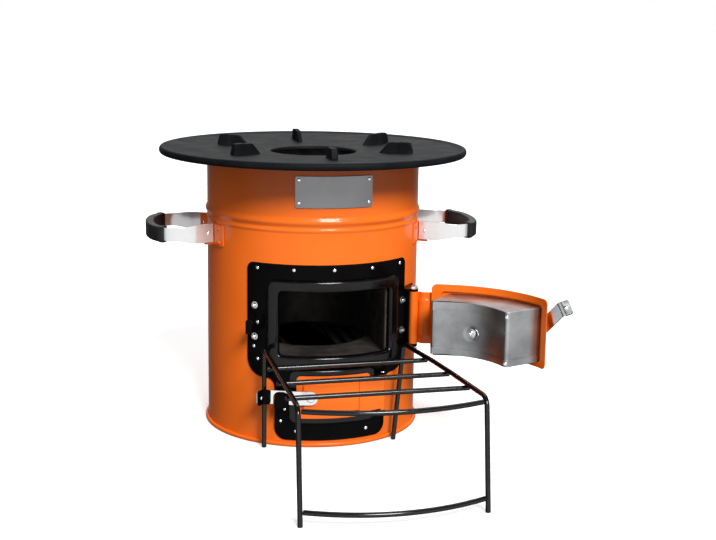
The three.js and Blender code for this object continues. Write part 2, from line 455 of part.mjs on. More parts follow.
// Flat border at the rim, with the middle pressed out.
const pressedPlate = (border, middle) => {
  const [a0, a1, z0, z1] = middle, R2 = DOOR_R + PRESSED;
  const [x0, x1] = [R2 * Math.sin(a0 * D), R2 * Math.sin(a1 * D)];
  return curvedPlate(DOOR_R, DOOR_R + DOOR_T, border, 4).add(curvedPlate(DOOR_R, R2 + DOOR_T, box2(x0, z0, x1, z1, 6), 4))
    .subtract(curvedPlate(DOOR_R - 2, R2, box2(x0 + 1.3, z0 + 1.3, x1 - 1.3, z1 - 1.3, 4.7), 4));
};
const fuelPanel = pressedPlate(patch(DOOR_R, fp.a0, fp.a1, fp.z0, fp.z1, 6), [-24.8, 32, 113, 182]);
add(door, 'upper_door_panel', fuelPanel.subtract(panelHole(FUEL_LATCH)), orangePaint());
const face = [];
for (let i = 0; i <= 14; i++) {
  const s = i / 14;
  face.push([-38.2 + 99.4 * s, -79.7 + 5.1 * s - 16.9 * 4 * s * (1 - s)]);
}
const boxLine = [[-55, -123.6], ...face, [64.2, -121.2]];
const wall = 1.2;
const boxOuter = prism([...boxLine.map((p) => new THREE.Vector2(...p)), new THREE.Vector2(64.2, -140), new THREE.Vector2(-55, -140)], 115, 179)
  .intersect(pin(0, 0, 100, 200, DOOR_R + PRESSED - 0.4, SEG));
const inner = [];
boxLine.forEach(([x, y], i) => {
  const a = boxLine[Math.max(0, i - 1)], b = boxLine[Math.min(boxLine.length - 1, i + 1)];
  const t0 = new THREE.Vector2(x - a[0], y - a[1]).normalize(), t1 = new THREE.Vector2(b[0] - x, b[1] - y).normalize();
  const m = t0.clone().add(t1).normalize();
  const n = new THREE.Vector2(m.y, -m.x);
  const k = i === 0 || i === boxLine.length - 1 ? 1 : 1 / Math.max(0.4, n.dot(new THREE.Vector2(t1.y, -t1.x)));
  inner.push(new THREE.Vector2(x + n.x * k * wall, y + n.y * k * wall));
});
inner[0].y = -124; inner[inner.length - 1].y = -124;
const boxInner = prism([...inner, new THREE.Vector2(inner[inner.length - 1].x, -150), new THREE.Vector2(inner[0].x, -150)], 115 + wall, 179 - wall);
const BOLT = [15.5, -93.7, 143.5];
const boltAxis = (z0, z1, r, sides = 12) => solid(new THREE.CylinderGeometry(r, r, z1 - z0, sides).translate(BOLT[0], (z0 + z1) / 2, BOLT[2]));
add(door, 'upper_door_box', boxOuter.subtract(boxInner).subtract(boltAxis(-110, -80, 2.8)), brushedSteel());
add(door, 'box_bolt', boltAxis(-139.7, -91, 2.5).add(boltAxis(-92.6, -89.2, 5.0, 6)), brightSteel());
// Hinge arm: a strip laid on the panel, stepped out to a sleeve round the rod.
const sleeve = pin(HINGE[0], HINGE[1], 115.6, 179.4, 5.2, 16);
const FACE = DOOR_R + PRESSED + DOOR_T;   // outer face of the pressed middle of a door
const strip = band(FACE + GAP, FACE + 2.0, 116, 179)
  .intersect(prism([polar(26.5, 100), polar(26.5, 170), polar(40, 170), polar(40, 100)].map((p) => new THREE.Vector2(...p)).reverse(), 110, 190));
const [ex, ey] = polar(39.2, FACE + 1.15);
const bridge = ribbon([[ex, ey], [HINGE[0] - 1.2, HINGE[1] - 3.6]], 2.0, 116, 179);
add(door, 'upper_hinge_arm', strip.add(bridge).add(sleeve).subtract(pin(HINGE[0], HINGE[1], 100, 200, ROD + GAP)), orangePaint());
latch(door, 'upper_latch', FUEL_LATCH, -FUEL_LATCH.lift, null);

// ---------------------------------------------------------------- ash door
const ap = ASH_DOOR;
const ashPanel = pressedPlate(patch(DOOR_R, ap.a0, ap.a1, ap.z0, ap.z1, 5), [-15.7, 15.9, 44, 82.3]);
add(stove, 'lower_door_panel', ashPanel.subtract(panelHole(ASH_LATCH)), orangePaint());
const leafStrip = band(FACE + GAP, FACE + 1.7, 44, 82)
  .intersect(prism([polar(12, 100), polar(12, 170), polar(23.4, 170), polar(23.4, 100)].map((p) => new THREE.Vector2(...p)).reverse(), 40, 90));
const [lx, ly] = polar(22.6, FACE + 1.0);
add(stove, 'lower_hinge_leaf', leafStrip.add(ribbon([[lx, ly], [ASH_HINGE[0] - 0.8, ASH_HINGE[1] - 2.6]], 1.4, 44, 82))
  .add(pin(ASH_HINGE[0], ASH_HINGE[1], 42, 84.6, 3.5, 16)).subtract(pin(ASH_HINGE[0], ASH_HINGE[1], 30, 100, PIN + GAP, 12)), orangePaint());
latch(stove, 'lower_latch', ASH_LATCH, 0, { u0: 25.4, u1: 43.6, top: 70.6 - ASH_LATCH.z });

// ---------------------------------------------------------------- fuel rack, standing loose in front
const { rl, rr, fl, fr } = RACK;
const BAR_Z = RAIL_Z - 2 * ROD_R - GAP;
add(stove, 'rack_left_frame', rod([[rl[0], rl[1], 0], [rl[0], rl[1], RAIL_Z, 6], [-82.4, -346, RAIL_Z, 12], [fl[0], fl[1], 0]], ROD_R), blackPaint());
add(stove, 'rack_right_frame', rod([[rr[0], rr[1], 0], [87.5, -120.5, RAIL_Z, 6], [92, -157, RAIL_Z, 30], [100, -205, RAIL_Z], [106, -255, RAIL_Z, 60],
  [115.2, -347, RAIL_Z, 12], [fr[0], fr[1], 0]], ROD_R), blackPaint());
[[-182, -177], [-242, -237], [-296, -292]].forEach(([yl, yr], i) => add(stove, `rack_cross_bar_${i + 1}`,
  rod([[-86, yl, BAR_Z], [[100.5, 108.5, 114.5][i], yr, BAR_Z]], ROD_R), blackPaint()));
const arc = (x0, x1, y0, y1, sag, z, n) => Array.from({ length: n + 1 }, (_, k) => {
  const s = k / n;
  return [x0 + (x1 - x0) * s, y0 + (y1 - y0) * s - sag * 4 * s * (1 - s), z];
});
add(stove, 'rack_front_bar', rod(arc(-78.8, 111.6, -345, -346.5, 19, BAR_Z + 1, 12), ROD_R), blackPaint());
add(stove, 'rack_lower_bar', rod(arc(-79.7, 112.6, -363, -361, 22, 15, 12), ROD_R), blackPaint());

export default stove;
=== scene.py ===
import json
import math

import bmesh
import bpy
from mathutils import Matrix, Vector
from mathutils.geometry import delaunay_2d_cdt

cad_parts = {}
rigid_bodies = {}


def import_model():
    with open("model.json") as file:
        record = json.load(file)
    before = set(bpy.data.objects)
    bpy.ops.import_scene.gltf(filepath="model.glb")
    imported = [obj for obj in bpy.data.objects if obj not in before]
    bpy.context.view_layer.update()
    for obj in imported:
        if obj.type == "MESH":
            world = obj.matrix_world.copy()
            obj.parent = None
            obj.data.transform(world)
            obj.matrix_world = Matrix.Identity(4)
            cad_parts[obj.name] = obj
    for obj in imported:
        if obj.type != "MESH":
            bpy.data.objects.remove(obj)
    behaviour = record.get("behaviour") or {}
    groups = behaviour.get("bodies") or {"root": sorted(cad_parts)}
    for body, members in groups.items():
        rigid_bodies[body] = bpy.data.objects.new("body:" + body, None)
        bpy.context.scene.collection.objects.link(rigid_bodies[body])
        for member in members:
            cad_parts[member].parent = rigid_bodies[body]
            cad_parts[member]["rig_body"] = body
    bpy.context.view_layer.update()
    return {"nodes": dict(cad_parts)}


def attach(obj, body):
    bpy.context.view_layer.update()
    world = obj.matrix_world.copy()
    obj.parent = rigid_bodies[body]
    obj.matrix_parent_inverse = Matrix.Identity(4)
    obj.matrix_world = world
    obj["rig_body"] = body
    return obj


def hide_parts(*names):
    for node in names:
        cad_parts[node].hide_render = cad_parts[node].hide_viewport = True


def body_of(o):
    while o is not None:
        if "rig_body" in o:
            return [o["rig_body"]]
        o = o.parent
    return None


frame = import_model()
NODES = frame["nodes"]
MM = 0.001
D = math.pi / 180

# ------------------------------------------------------------------ sizes shared with the frame, in millimetres
DRUM_R, DRUM_TOP = 130.0, 334.0
HINGE = (103.0, -105.9)
DOOR_OPEN = 131.0
ASH_HINGE = (60.2, -128.4)
ROD_R = 2.8
RAIL_Z = 119.7


# ------------------------------------------------------------------ materials
def node(nt, kind, loc=None, **inputs):
    n = nt.nodes.new(kind)
    for k, v in inputs.items():
        n.inputs[k.replace("_", " ")].default_value = v
    return n


def material(name, base, rough, metal=0.0, coat=0.0, coat_rough=0.05, spec=0.5):
    m = bpy.data.materials.new(name)
    m.use_nodes = True
    nt = m.node_tree
    b = nt.nodes["Principled BSDF"]
    b.inputs["Base Color"].default_value = (*base, 1)
    b.inputs["Roughness"].default_value = rough
    b.inputs["Metallic"].default_value = metal
    b.inputs["Coat Weight"].default_value = coat
    b.inputs["Coat Roughness"].default_value = coat_rough
    b.inputs["Specular IOR Level"].default_value = spec
    return m, nt, b


def position(nt):
    return nt.nodes.new("ShaderNodeNewGeometry").outputs["Position"]


def scaled(nt, vec, scale):
    mp = nt.nodes.new("ShaderNodeMapping")
    mp.inputs["Scale"].default_value = scale
    nt.links.new(vec, mp.inputs["Vector"])
    return mp.outputs["Vector"]


def noise(nt, vec, scale, detail=4.0, rough=0.55, distort=0.0):
    n = nt.nodes.new("ShaderNodeTexNoise")
    n.inputs["Scale"].default_value = scale
    n.inputs["Detail"].default_value = detail
    n.inputs["Roughness"].default_value = rough
    n.inputs["Distortion"].default_value = distort
    nt.links.new(vec, n.inputs["Vector"])
    return n.outputs["Fac"]


def remap(nt, fac, a, b, lo, hi):
    r = nt.nodes.new("ShaderNodeMapRange")
    r.inputs["From Min"].default_value = a
    r.inputs["From Max"].default_value = b
    r.inputs["To Min"].default_value = lo
    r.inputs["To Max"].default_value = hi
    nt.links.new(fac, r.inputs["Value"])
    return r.outputs["Result"]


def ramp(nt, fac, stops):
    r = nt.nodes.new("ShaderNodeValToRGB")
    e = r.color_ramp.elements
    while len(e) < len(stops):
        e.new(0.5)
    for el, (p, c) in zip(e, stops):
        el.position = p
        el.color = (*c, 1)
    nt.links.new(fac, r.inputs["Fac"])
    return r.outputs["Color"]


def bump(nt, height, strength, distance, onto=None):
    bp = nt.nodes.new("ShaderNodeBump")
    bp.inputs["Strength"].default_value = strength
    bp.inputs["Distance"].default_value = distance
    nt.links.new(height, bp.inputs["Height"])
    if onto is not None:
        nt.links.new(onto, bp.inputs["Normal"])
    return bp.outputs["Normal"]


def orange_paint():
    m, nt, b = material("enamel_orange", (0.95, 0.165, 0.009), 0.34, coat=0.3, coat_rough=0.09, spec=0.15)
    p = position(nt)
    tone = noise(nt, p, 9.0, 3.0)
    nt.links.new(ramp(nt, tone, [(0.3, (0.91, 0.15, 0.007)), (0.7, (0.98, 0.176, 0.0105))]), b.inputs["Base Color"])
    nt.links.new(remap(nt, noise(nt, p, 60.0, 5.0), 0.3, 0.7, 0.29, 0.38), b.inputs["Roughness"])
    nrm = bump(nt, noise(nt, p, 520.0, 2.0), 0.04, 0.0004)
    nrm = bump(nt, noise(nt, p, 22.0, 2.0), 0.1, 0.0006, nrm)
    nt.links.new(nrm, b.inputs["Normal"])
    nt.links.new(nrm, b.inputs["Coat Normal"])
    return m


def black_paint(name="powder_black", rough=0.17, peel_scale=650.0, spec=0.12):
    m, nt, b = material(name, (0.0014, 0.0014, 0.0017), rough, spec=spec)
    p = position(nt)
    nt.links.new(ramp(nt, noise(nt, p, 30.0), [(0.35, (0.0011, 0.0011, 0.0013)), (0.7, (0.002, 0.002, 0.0025))]), b.inputs["Base Color"])
    nt.links.new(remap(nt, noise(nt, p, 80.0), 0.3, 0.7, rough - 0.04, rough + 0.06), b.inputs["Roughness"])
    nt.links.new(bump(nt, noise(nt, p, peel_scale, 2.0), 0.06, 0.0004), b.inputs["Normal"])
    return m


def cast_iron():
    m, nt, b = material("iron_cast", (0.006, 0.0067, 0.0078), 0.55, metal=0.05, spec=0.06)
    p = position(nt)
    fine = noise(nt, p, 900.0, 3.0, 0.7)
    wide = noise(nt, p, 26.0, 5.0, 0.6)
    nt.links.new(ramp(nt, wide, [(0.3, (0.0042, 0.0047, 0.0056)), (0.7, (0.0088, 0.0098, 0.0115))]), b.inputs["Base Color"])
    nt.links.new(remap(nt, wide, 0.3, 0.7, 0.42, 0.58), b.inputs["Roughness"])
    nrm = bump(nt, fine, 0.35, 0.0005)
    nrm = bump(nt, noise(nt, p, 170.0, 3.0), 0.25, 0.0006, nrm)
    nt.links.new(nrm, b.inputs["Normal"])
    return m


def bright_steel(name="steel_bright", rough=0.13, tint=(0.88, 0.89, 0.9), metal=1.0):
    m, nt, b = material(name, tint, rough, metal=metal)
    p = position(nt)
    nt.links.new(remap(nt, noise(nt, p, 240.0, 4.0), 0.3, 0.7, rough - 0.03, rough + 0.03), b.inputs["Roughness"])
    nt.links.new(ramp(nt, noise(nt, p, 40.0), [(0.3, tuple(c * 0.93 for c in tint)), (0.7, tint)]), b.inputs["Base Color"])
    nt.links.new(bump(nt, noise(nt, p, 700.0, 2.0), 0.04, 0.0003), b.inputs["Normal"])
    return m


def brushed_steel():
    # Fine horizontal brushing, with a little staining.
    m, nt, b = material("steel_brushed", (0.37, 0.38, 0.39), 0.34, metal=1.0)
    p = position(nt)
    lines = noise(nt, scaled(nt, p, (18, 18, 1500)), 1.0, 6.0, 0.65)
    cloud = noise(nt, p, 28.0, 4.0)
    nt.links.new(ramp(nt, cloud, [(0.3, (0.26, 0.27, 0.28)), (0.66, (0.45, 0.46, 0.47))]), b.inputs["Base Color"])
    nt.links.new(remap(nt, lines, 0.3, 0.7, 0.27, 0.42), b.inputs["Roughness"])
    nt.links.new(bump(nt, lines, 0.12, 0.0003), b.inputs["Normal"])
    return m


def sooted_steel():
    m, nt, b = material("steel_sooted", (0.07, 0.065, 0.06), 0.6, metal=0.7)
    p = position(nt)
    nt.links.new(ramp(nt, noise(nt, p, 24.0, 6.0), [(0.3, (0.022, 0.02, 0.019)), (0.62, (0.085, 0.075, 0.068)), (0.85, (0.14, 0.105, 0.08))]), b.inputs["Base Color"])
    nt.links.new(remap(nt, noise(nt, p, 55.0), 0.3, 0.7, 0.45, 0.8), b.inputs["Roughness"])
    nt.links.new(bump(nt, noise(nt, p, 220.0, 4.0), 0.2, 0.0006), b.inputs["Normal"])
    return m


def grip_plastic():
    m, nt, b = material("plastic_grip", (0.006, 0.006, 0.0064), 0.38, spec=0.45)
    p = position(nt)
    nt.links.new(remap(nt, noise(nt, p, 120.0), 0.3, 0.7, 0.36, 0.52), b.inputs["Roughness"])
    nt.links.new(ramp(nt, noise(nt, p, 35.0), [(0.3, (0.004, 0.004, 0.0044)), (0.7, (0.009, 0.009, 0.0096))]), b.inputs["Base Color"])
    nt.links.new(bump(nt, noise(nt, p, 1100.0, 2.0), 0.22, 0.0004), b.inputs["Normal"])
    return m


def fill_material():
    m, nt, b = material("mineral_fill", (0.5, 0.45, 0.36), 0.95)
    p = position(nt)
    nt.links.new(ramp(nt, noise(nt, p, 160.0, 6.0), [(0.3, (0.36, 0.32, 0.25)), (0.7, (0.62, 0.57, 0.47))]), b.inputs["Base Color"])
    nt.links.new(bump(nt, noise(nt, p, 420.0, 5.0), 0.6, 0.001), b.inputs["Normal"])
    return m


ORANGE = orange_paint()
BLACK = black_paint(spec=0.04)
GLOSS_BLACK = black_paint("powder_black_rolled", 0.15, spec=0.3)
ROD_BLACK = black_paint("rod_black", 0.14, 500.0, 0.45)
IRON = cast_iron()
BRIGHT = bright_steel()
ZINC = bright_steel("steel_zinc", 0.15, (0.78, 0.79, 0.8), 0.5)
BRUSHED = brushed_steel()
PLATE_STEEL = bright_steel("steel_plate", 0.36, (0.22, 0.22, 0.225))
SOOT = sooted_steel()
GRIP = grip_plastic()
FILL = fill_material()


# ------------------------------------------------------------------ mesh making
def make(name, verts, faces, mat, body, nodes=(), sharp=38.0, merge=0.004, normals=True):
    """Object from millimetre vertices: merged, faces outward, edges over the angle sharp."""
    me = bpy.data.meshes.new(name)
    me.from_pydata([(x * MM, y * MM, z * MM) for x, y, z in verts], [], faces)
    bm = bmesh.new()
    bm.from_mesh(me)
    if merge:
        bmesh.ops.remove_doubles(bm, verts=bm.verts, dist=merge * MM)
    bmesh.ops.dissolve_degenerate(bm, edges=bm.edges, dist=1e-7)
    bmesh.ops.recalc_face_normals(bm, faces=bm.faces)
    for f in bm.faces:
        f.smooth = True
    for e in bm.edges:
        e.smooth = not (len(e.link_faces) == 2 and e.calc_face_angle(0) > sharp * D)
    bm.to_mesh(me)
    bm.free()
    ob = bpy.data.objects.new(name, me)
    bpy.context.scene.collection.objects.link(ob)
    me.materials.append(mat)
    if normals:
        w = ob.modifiers.new("face_normals", "WEIGHTED_NORMAL")
        w.keep_sharp = True
        w.weight = 60
    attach(ob, body)
    if nodes:
        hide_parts(*nodes)
    return ob


def refine(name, mat, width=0.5, segments=3, angle=32.0, sharp=40.0, new_name=None):
    """The CAD node's own shape with its edges rounded."""
    src = NODES[name]
    body = body_of(src)
    body = body if isinstance(body, str) else list(body)[0]
    bm = bmesh.new()
    bm.from_mesh(src.data)
    bmesh.ops.remove_doubles(bm, verts=bm.verts, dist=0.004 * MM)
    bmesh.ops.dissolve_limit(bm, angle_limit=0.6 * D, verts=bm.verts, edges=bm.edges)
    for f in bm.faces:
        f.smooth = True
    for e in bm.edges:
        e.smooth = not (len(e.link_faces) == 2 and e.calc_face_angle(0) > sharp * D)
    me = bpy.data.meshes.new(new_name or name + "_piece")
    bm.to_mesh(me)
    bm.free()
    ob = bpy.data.objects.new(new_name or name + "_piece", me)
    bpy.context.scene.collection.objects.link(ob)
    me.materials.clear()
    me.materials.append(mat)
    if width:
        bv = ob.modifiers.new("edges", "BEVEL")
        bv.limit_method = "ANGLE"
        bv.angle_limit = angle * D
        bv.width = width * MM
        bv.segments = segments
        bv.harden_normals = False
        bv.use_clamp_overlap = True
        bv.miter_outer = "MITER_ARC"
    w = ob.modifiers.new("face_normals", "WEIGHTED_NORMAL")
    w.keep_sharp = True
    w.weight = 60
    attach(ob, body)
    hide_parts(name)
    return ob


def paint(name, mat):
    """A CAD node that stays, with a better material and flat-shaded facets."""
    ob = NODES[name]
    ob.data.materials.clear()
    ob.data.materials.append(mat)
    for p in ob.data.polygons:
        p.use_smooth = False
    return ob


def outline(corners, inset=0.0, steps=6):
    """Rounded polygon, anticlockwise [x, y, r] corners, moved inward by inset; the point count doesn't change with inset."""
    n = len(corners)
    pts = []
    for i in range(n):
        x, y, r = corners[i]
        px, py, _ = corners[i - 1]
        nx, ny, _ = corners[(i + 1) % n]
        u = Vector((px - x, py - y)).normalized()
        v = Vector((nx - x, ny - y)).normalized()
        cross = (-u.x) * v.y - (-u.y) * v.x
        half = math.acos(max(-1, min(1, u.dot(v)))) / 2
        bis = (u + v).normalized()
        convex = cross > 0
        shift = inset / math.sin(half)
        p = Vector((x, y)) + bis * (shift if convex else -shift)
        rr = max(0.15, r - inset if convex else r + inset)
        reach = rr / math.tan(half)
        c = p + bis * (rr / math.sin(half))
        s = p + u * reach - c
        e = p + v * reach - c
        a0 = math.atan2(s.y, s.x)
        da = math.atan2(e.y, e.x) - a0
        while da > math.pi:
            da -= 2 * math.pi
        while da < -math.pi:
            da += 2 * math.pi
        for k in range(steps + 1):
            a = a0 + da * k / steps
            pts.append((c.x + rr * math.cos(a), c.y + rr * math.sin(a)))
    return pts


def rect(x0, y0, x1, y1, r):
    return [(x0, y0, r), (x1, y0, r), (x1, y1, r), (x0, y1, r)]


def densify(loop, step):
    """Points added along long straights, so that a loop can be bent round the drum."""
    out = []
    n = len(loop)
    for i in range(n):
        a, b = loop[i], loop[(i + 1) % n]
        d = math.hypot(b[0] - a[0], b[1] - a[1])
        k = max(1, math.ceil(d / step))
        for j in range(k):
            t = j / k
            out.append((a[0] + (b[0] - a[0]) * t, a[1] + (b[1] - a[1]) * t))
    return out


def counts(loop, step):
    n = len(loop)
    return [max(1, math.ceil(math.hypot(loop[(i + 1) % n][0] - loop[i][0], loop[(i + 1) % n][1] - loop[i][1]) / step)) for i in range(n)]


def spread(loop, ks):
    out = []
    n = len(loop)
    for i in range(n):
        a, b = loop[i], loop[(i + 1) % n]
        for j in range(ks[i]):
            t = j / ks[i]
            out.append((a[0] + (b[0] - a[0]) * t, a[1] + (b[1] - a[1]) * t))
    return out


def inside(pt, loop):
    x, y = pt
    c = False
    n = len(loop)
    j = n - 1
    for i in range(n):
        xi, yi = loop[i]
        xj, yj = loop[j]
        if (yi > y) != (yj > y) and x < (xj - xi) * (y - yi) / (yj - yi) + xi:
            c = not c
        j = i
    return c


def near(pt, loop, d):
    d2 = d * d
    return any((pt[0] - q[0]) ** 2 + (pt[1] - q[1]) ** 2 < d2 for q in loop)


def fill(loops_out, loops_in, extra, grid, height, ridges=()):
    """Triangles of the area between an outer loop and holes, with inner points on a grid and along ridge loops."""
    verts = []
    edges = []

    def ring(loop):
        base = len(verts)
        verts.extend(loop)
        edges.extend((base + i, base + (i + 1) % len(loop)) for i in range(len(loop)))

    for lp in loops_out:
        ring(lp)
    for lp in loops_in:
        ring(lp)
    for lp in ridges:
        ring(lp)
    xs = [p[0] for p in loops_out[0]]
    ys = [p[1] for p in loops_out[0]]
    every = [p for lp in list(loops_out) + list(loops_in) + list(ridges) for p in lp]
    gx = int((max(xs) - min(xs)) / grid) + 1
    gy = int((max(ys) - min(ys)) / grid) + 1
    # A coarse hash keeps the distance test quick.
    cell = {}
    for q in every:
        cell.setdefault((int(q[0] // grid), int(q[1] // grid)), []).append(q)
    for i in range(gx + 1):
        for j in range(gy + 1):
            p = (min(xs) + i * grid + 0.37 * grid, min(ys) + j * grid + (0.5 * grid if i % 2 else 0.0) + 0.21 * grid)
            if not inside(p, loops_out[0]) or any(inside(p, h) for h in loops_in):
                continue
            cx, cy = int(p[0] // grid), int(p[1] // grid)
            close = [q for a in (-1, 0, 1) for b in (-1, 0, 1) for q in cell.get((cx + a, cy + b), ())]
            if near(p, close, 0.55 * grid):
                continue
            verts.append(p)
    vs, _, fs, _, _, _ = delaunay_2d_cdt([Vector(v) for v in verts], edges, [], 0, 1e-5)
    keep = []
    for f in fs:
        c = (sum(vs[i].x for i in f) / len(f), sum(vs[i].y for i in f) / len(f))
        if inside(c, loops_out[0]) and not any(inside(c, h) for h in loops_in):
            keep.append(f)
    return [(v.x, v.y, height(v.x, v.y)) for v in vs], keep


def pressed(name, body, corners, holes, profile, wrap, mat, nodes=(), grid=6.0, lift=None, ridges=(), steps=6,
            hole_profile=None, step_len=5.0, back=None, sharp=38.0):
    """A sheet piece: outline and holes in flat (s, z), an edge profile of (inset, height) from back to front, bent by wrap(s, z, h).
    lift(s, z) raises both faces where the sheet is pressed out."""
    lift = lift or (lambda s, z: 0.0)
    hole_profile = hole_profile or profile
    verts, faces = [], []

    def add(points, fs):
        base = len(verts)
        verts.extend(wrap(*p) for p in points)
        faces.extend([base + i for i in f] for f in fs)

    def side(cs, prof, sign):
        ks = counts(outline(cs, 0, steps), step_len)
        rows = []
        for inset, h in prof:
            loop = spread(outline(cs, sign * inset, steps), ks)
            rows.append([(s, z, h + lift(s, z)) for s, z in loop])
        n = len(rows[0])
        pts = [p for r in rows for p in r]
        fs = []
        for a in range(len(rows) - 1):
            for i in range(n):
                j = (i + 1) % n
                fs.append([a * n + i, a * n + j, (a + 1) * n + j, (a + 1) * n + i])
        add(pts, fs)
        return [(p[0], p[1]) for p in rows[0]], [(p[0], p[1]) for p in rows[-1]]

    b0, f0 = side(corners, profile, 1)
    hb, hf = [], []
    for h in holes:
        b, f = side(h, hole_profile, -1)
        hb.append(b)
        hf.append(f)
    for loop0, loops_in, h in ((f0, hf, profile[-1][1]), (b0, hb, profile[0][1])):
        pts, fs = fill([loop0], loops_in, (), grid, lambda s, z, h=h: h + lift(s, z), ridges)
        add(pts, fs)
    return make(name, verts, faces, mat, body, nodes, sharp=sharp)


def round_drum(R, turn=None):
    """wrap() for a piece bent to radius R; s is arc length at R from the front, h stands out from it."""
    def f(s, z, h):
        a = s / R
        r = R + h
        x, y = r * math.sin(a), -r * math.cos(a)
        if turn:
            (hx, hy), deg = turn
            c, sn = math.cos(deg * D), math.sin(deg * D)
            x, y = hx + (x - hx) * c - (y - hy) * sn, hy + (x - hx) * sn + (y - hy) * c
        return (x, y, z)
    return f


def arcs(R, a0, a1, z0, z1, r):
    return rect(R * a0 * D, z0, R * a1 * D, z1, r)


def lathe(profile, seg=160, closed=True):
    """Vertices and faces of a ring turned from [r, z] points; a point at r = 0 closes on the axis."""
    verts, faces = [], []
    n = len(profile)
    for k in range(seg):
        a = 2 * math.pi * k / seg
        for r, z in profile:
            verts.append((r * math.sin(a), -r * math.cos(a), z))
    rng = range(n) if closed else range(n - 1)
    for k in range(seg):
        m = (k + 1) % seg
        for i in rng:
            j = (i + 1) % n
            faces.append([k * n + i, m * n + i, m * n + j, k * n + j])
    return verts, faces


def curve_profile(points, steps=6):
    """Catmull-Rom smoothing of [r, z] points."""
    out = []
    n = len(points)
    for i in range(n - 1):
        p0 = points[max(0, i - 1)]
        p1, p2 = points[i], points[i + 1]
        p3 = points[min(n - 1, i + 2)]
        for k in range(steps):
            t = k / steps
            out.append(tuple(0.5 * (2 * p1[c] + (p2[c] - p0[c]) * t + (2 * p0[c] - 5 * p1[c] + 4 * p2[c] - p3[c]) * t * t
                                    + (3 * p1[c] - p0[c] - 3 * p2[c] + p3[c]) * t ** 3) for c in (0, 1)))
    out.append(points[-1])
    return out


def rings(loops, cap=True, closed=False):
    """Faces through equal rings of points."""
    n = len(loops[0])
    verts = [p for lp in loops for p in lp]
    faces = []
    m = len(loops)
    for a in range(m if closed else m - 1):
        b = (a + 1) % m
        for i in range(n):
            j = (i + 1) % n
            faces.append([a * n + i, a * n + j, b * n + j, b * n + i])
    if cap and not closed:
        for a in (0, m - 1):
            c = tuple(sum(loops[a][i][k] for i in range(n)) / n for k in range(3))
            verts.append(c)
            ci = len(verts) - 1
            for i in range(n):
                faces.append([a * n + i, a * n + (i + 1) % n, ci])
    return verts, faces


def bent_path(corners, bend=8):
    pts = []
    for i, c in enumerate(corners):
        p = Vector(c[:3])
        r = c[3] if len(c) > 3 else 0
        if not r:
            pts.append(p)
            continue
        u = (Vector(corners[i - 1][:3]) - p).normalized()
        v = (Vector(corners[i + 1][:3]) - p).normalized()
        half = math.acos(max(-1, min(1, u.dot(v)))) / 2
        reach = r / math.tan(half)
        cen = p + (u + v).normalized() * (r / math.sin(half))
        s, e = p + u * reach - cen, p + v * reach - cen
        w = math.pi - 2 * half
        for k in range(bend + 1):
            f = k / bend
            pts.append(cen + s * (math.sin((1 - f) * w) / math.sin(w)) + e * (math.sin(f * w) / math.sin(w)))
    return pts


def tube(corners, radius, sides=20, bend=8, round_ends=True):
    """Round bar through corners, with softly rounded ends."""
    pts = bent_path(corners, bend)
    n = len(pts)
    tang = []
    for i in range(n):
        t = Vector((0, 0, 0))
        if i > 0:
            t += (pts[i] - pts[i - 1]).normalized()
        if i < n - 1:
            t += (pts[i + 1] - pts[i]).normalized()
        tang.append(t.normalized())
    ref = Vector((0, 0, 1)) if abs(tang[0].z) < 0.9 else Vector((1, 0, 0))
    normal = (ref - tang[0] * ref.dot(tang[0])).normalized()
    loops = []

    def ring(p, t, nrm, r):
        bn = t.cross(nrm).normalized()
        return [tuple(p + nrm * (r * math.cos(2 * math.pi * k / sides)) + bn * (r * math.sin(2 * math.pi * k / sides))) for k in range(sides)]

    for i in range(n):
        normal = (normal - tang[i] * normal.dot(tang[i])).normalized()
        if i == 0 and round_ends:
            for f in (0.0, 0.35, 0.75):
                loops.append(ring(pts[0] + tang[0] * (0.7 * f), tang[0], normal, radius - 0.7 * (1 - math.sqrt(1 - (1 - f) ** 2))))
            loops.append(ring(pts[0] + tang[0] * 0.7, tang[0], normal, radius))
            continue
        if i == n - 1 and round_ends:
            loops.append(ring(pts[i] - tang[i] * 0.7, tang[i], normal, radius))
            for f in (0.75, 0.35, 0.0):
                loops.append(ring(pts[i] - tang[i] * (0.7 * f), tang[i], normal, radius - 0.7 * (1 - math.sqrt(1 - (1 - f) ** 2))))
            continue
        loops.append(ring(pts[i], tang[i], normal, radius))
    return rings(loops)


def merged(parts):
    verts, faces = [], []
    for v, f in parts:
        base = len(verts)
        verts.extend(v)
        faces.extend([[base + i for i in g] for g in f])
    return verts, faces


def on_drum(az, r, z, turn=None):
    """Matrix whose +Z stands out from the drum at that place and whose +Y is up."""
    a = az * D
    n = Vector((math.sin(a), -math.cos(a), 0))
    m = Matrix((( math.cos(a), 0, n.x, r * n.x), (math.sin(a), 0, n.y, r * n.y), (0, 1, 0, z), (0, 0, 0, 1)))
    if turn:
        (hx, hy), deg = turn
        m = Matrix.Translation((hx, hy, 0)) @ Matrix.Rotation(deg * D, 4, "Z") @ Matrix.Translation((-hx, -hy, 0)) @ m
    return m


def moved(vf, m):
    v, f = vf
    return [tuple(m @ Vector(p)) for p in v], f


def dome(radius, height, seg=20, rim=0.25):
    prof = [(0, 0), (radius, 0), (radius, rim)]
    for k in range(1, 7):
        t = k / 6 * math.pi / 2
        prof.append((radius * math.cos(t) if k < 6 else 0, rim + (height - rim) * math.sin(t)))
    v, f = lathe([(r, z) for r, z in prof], seg, closed=False)
    return [(x, y, z) for x, y, z in v], f


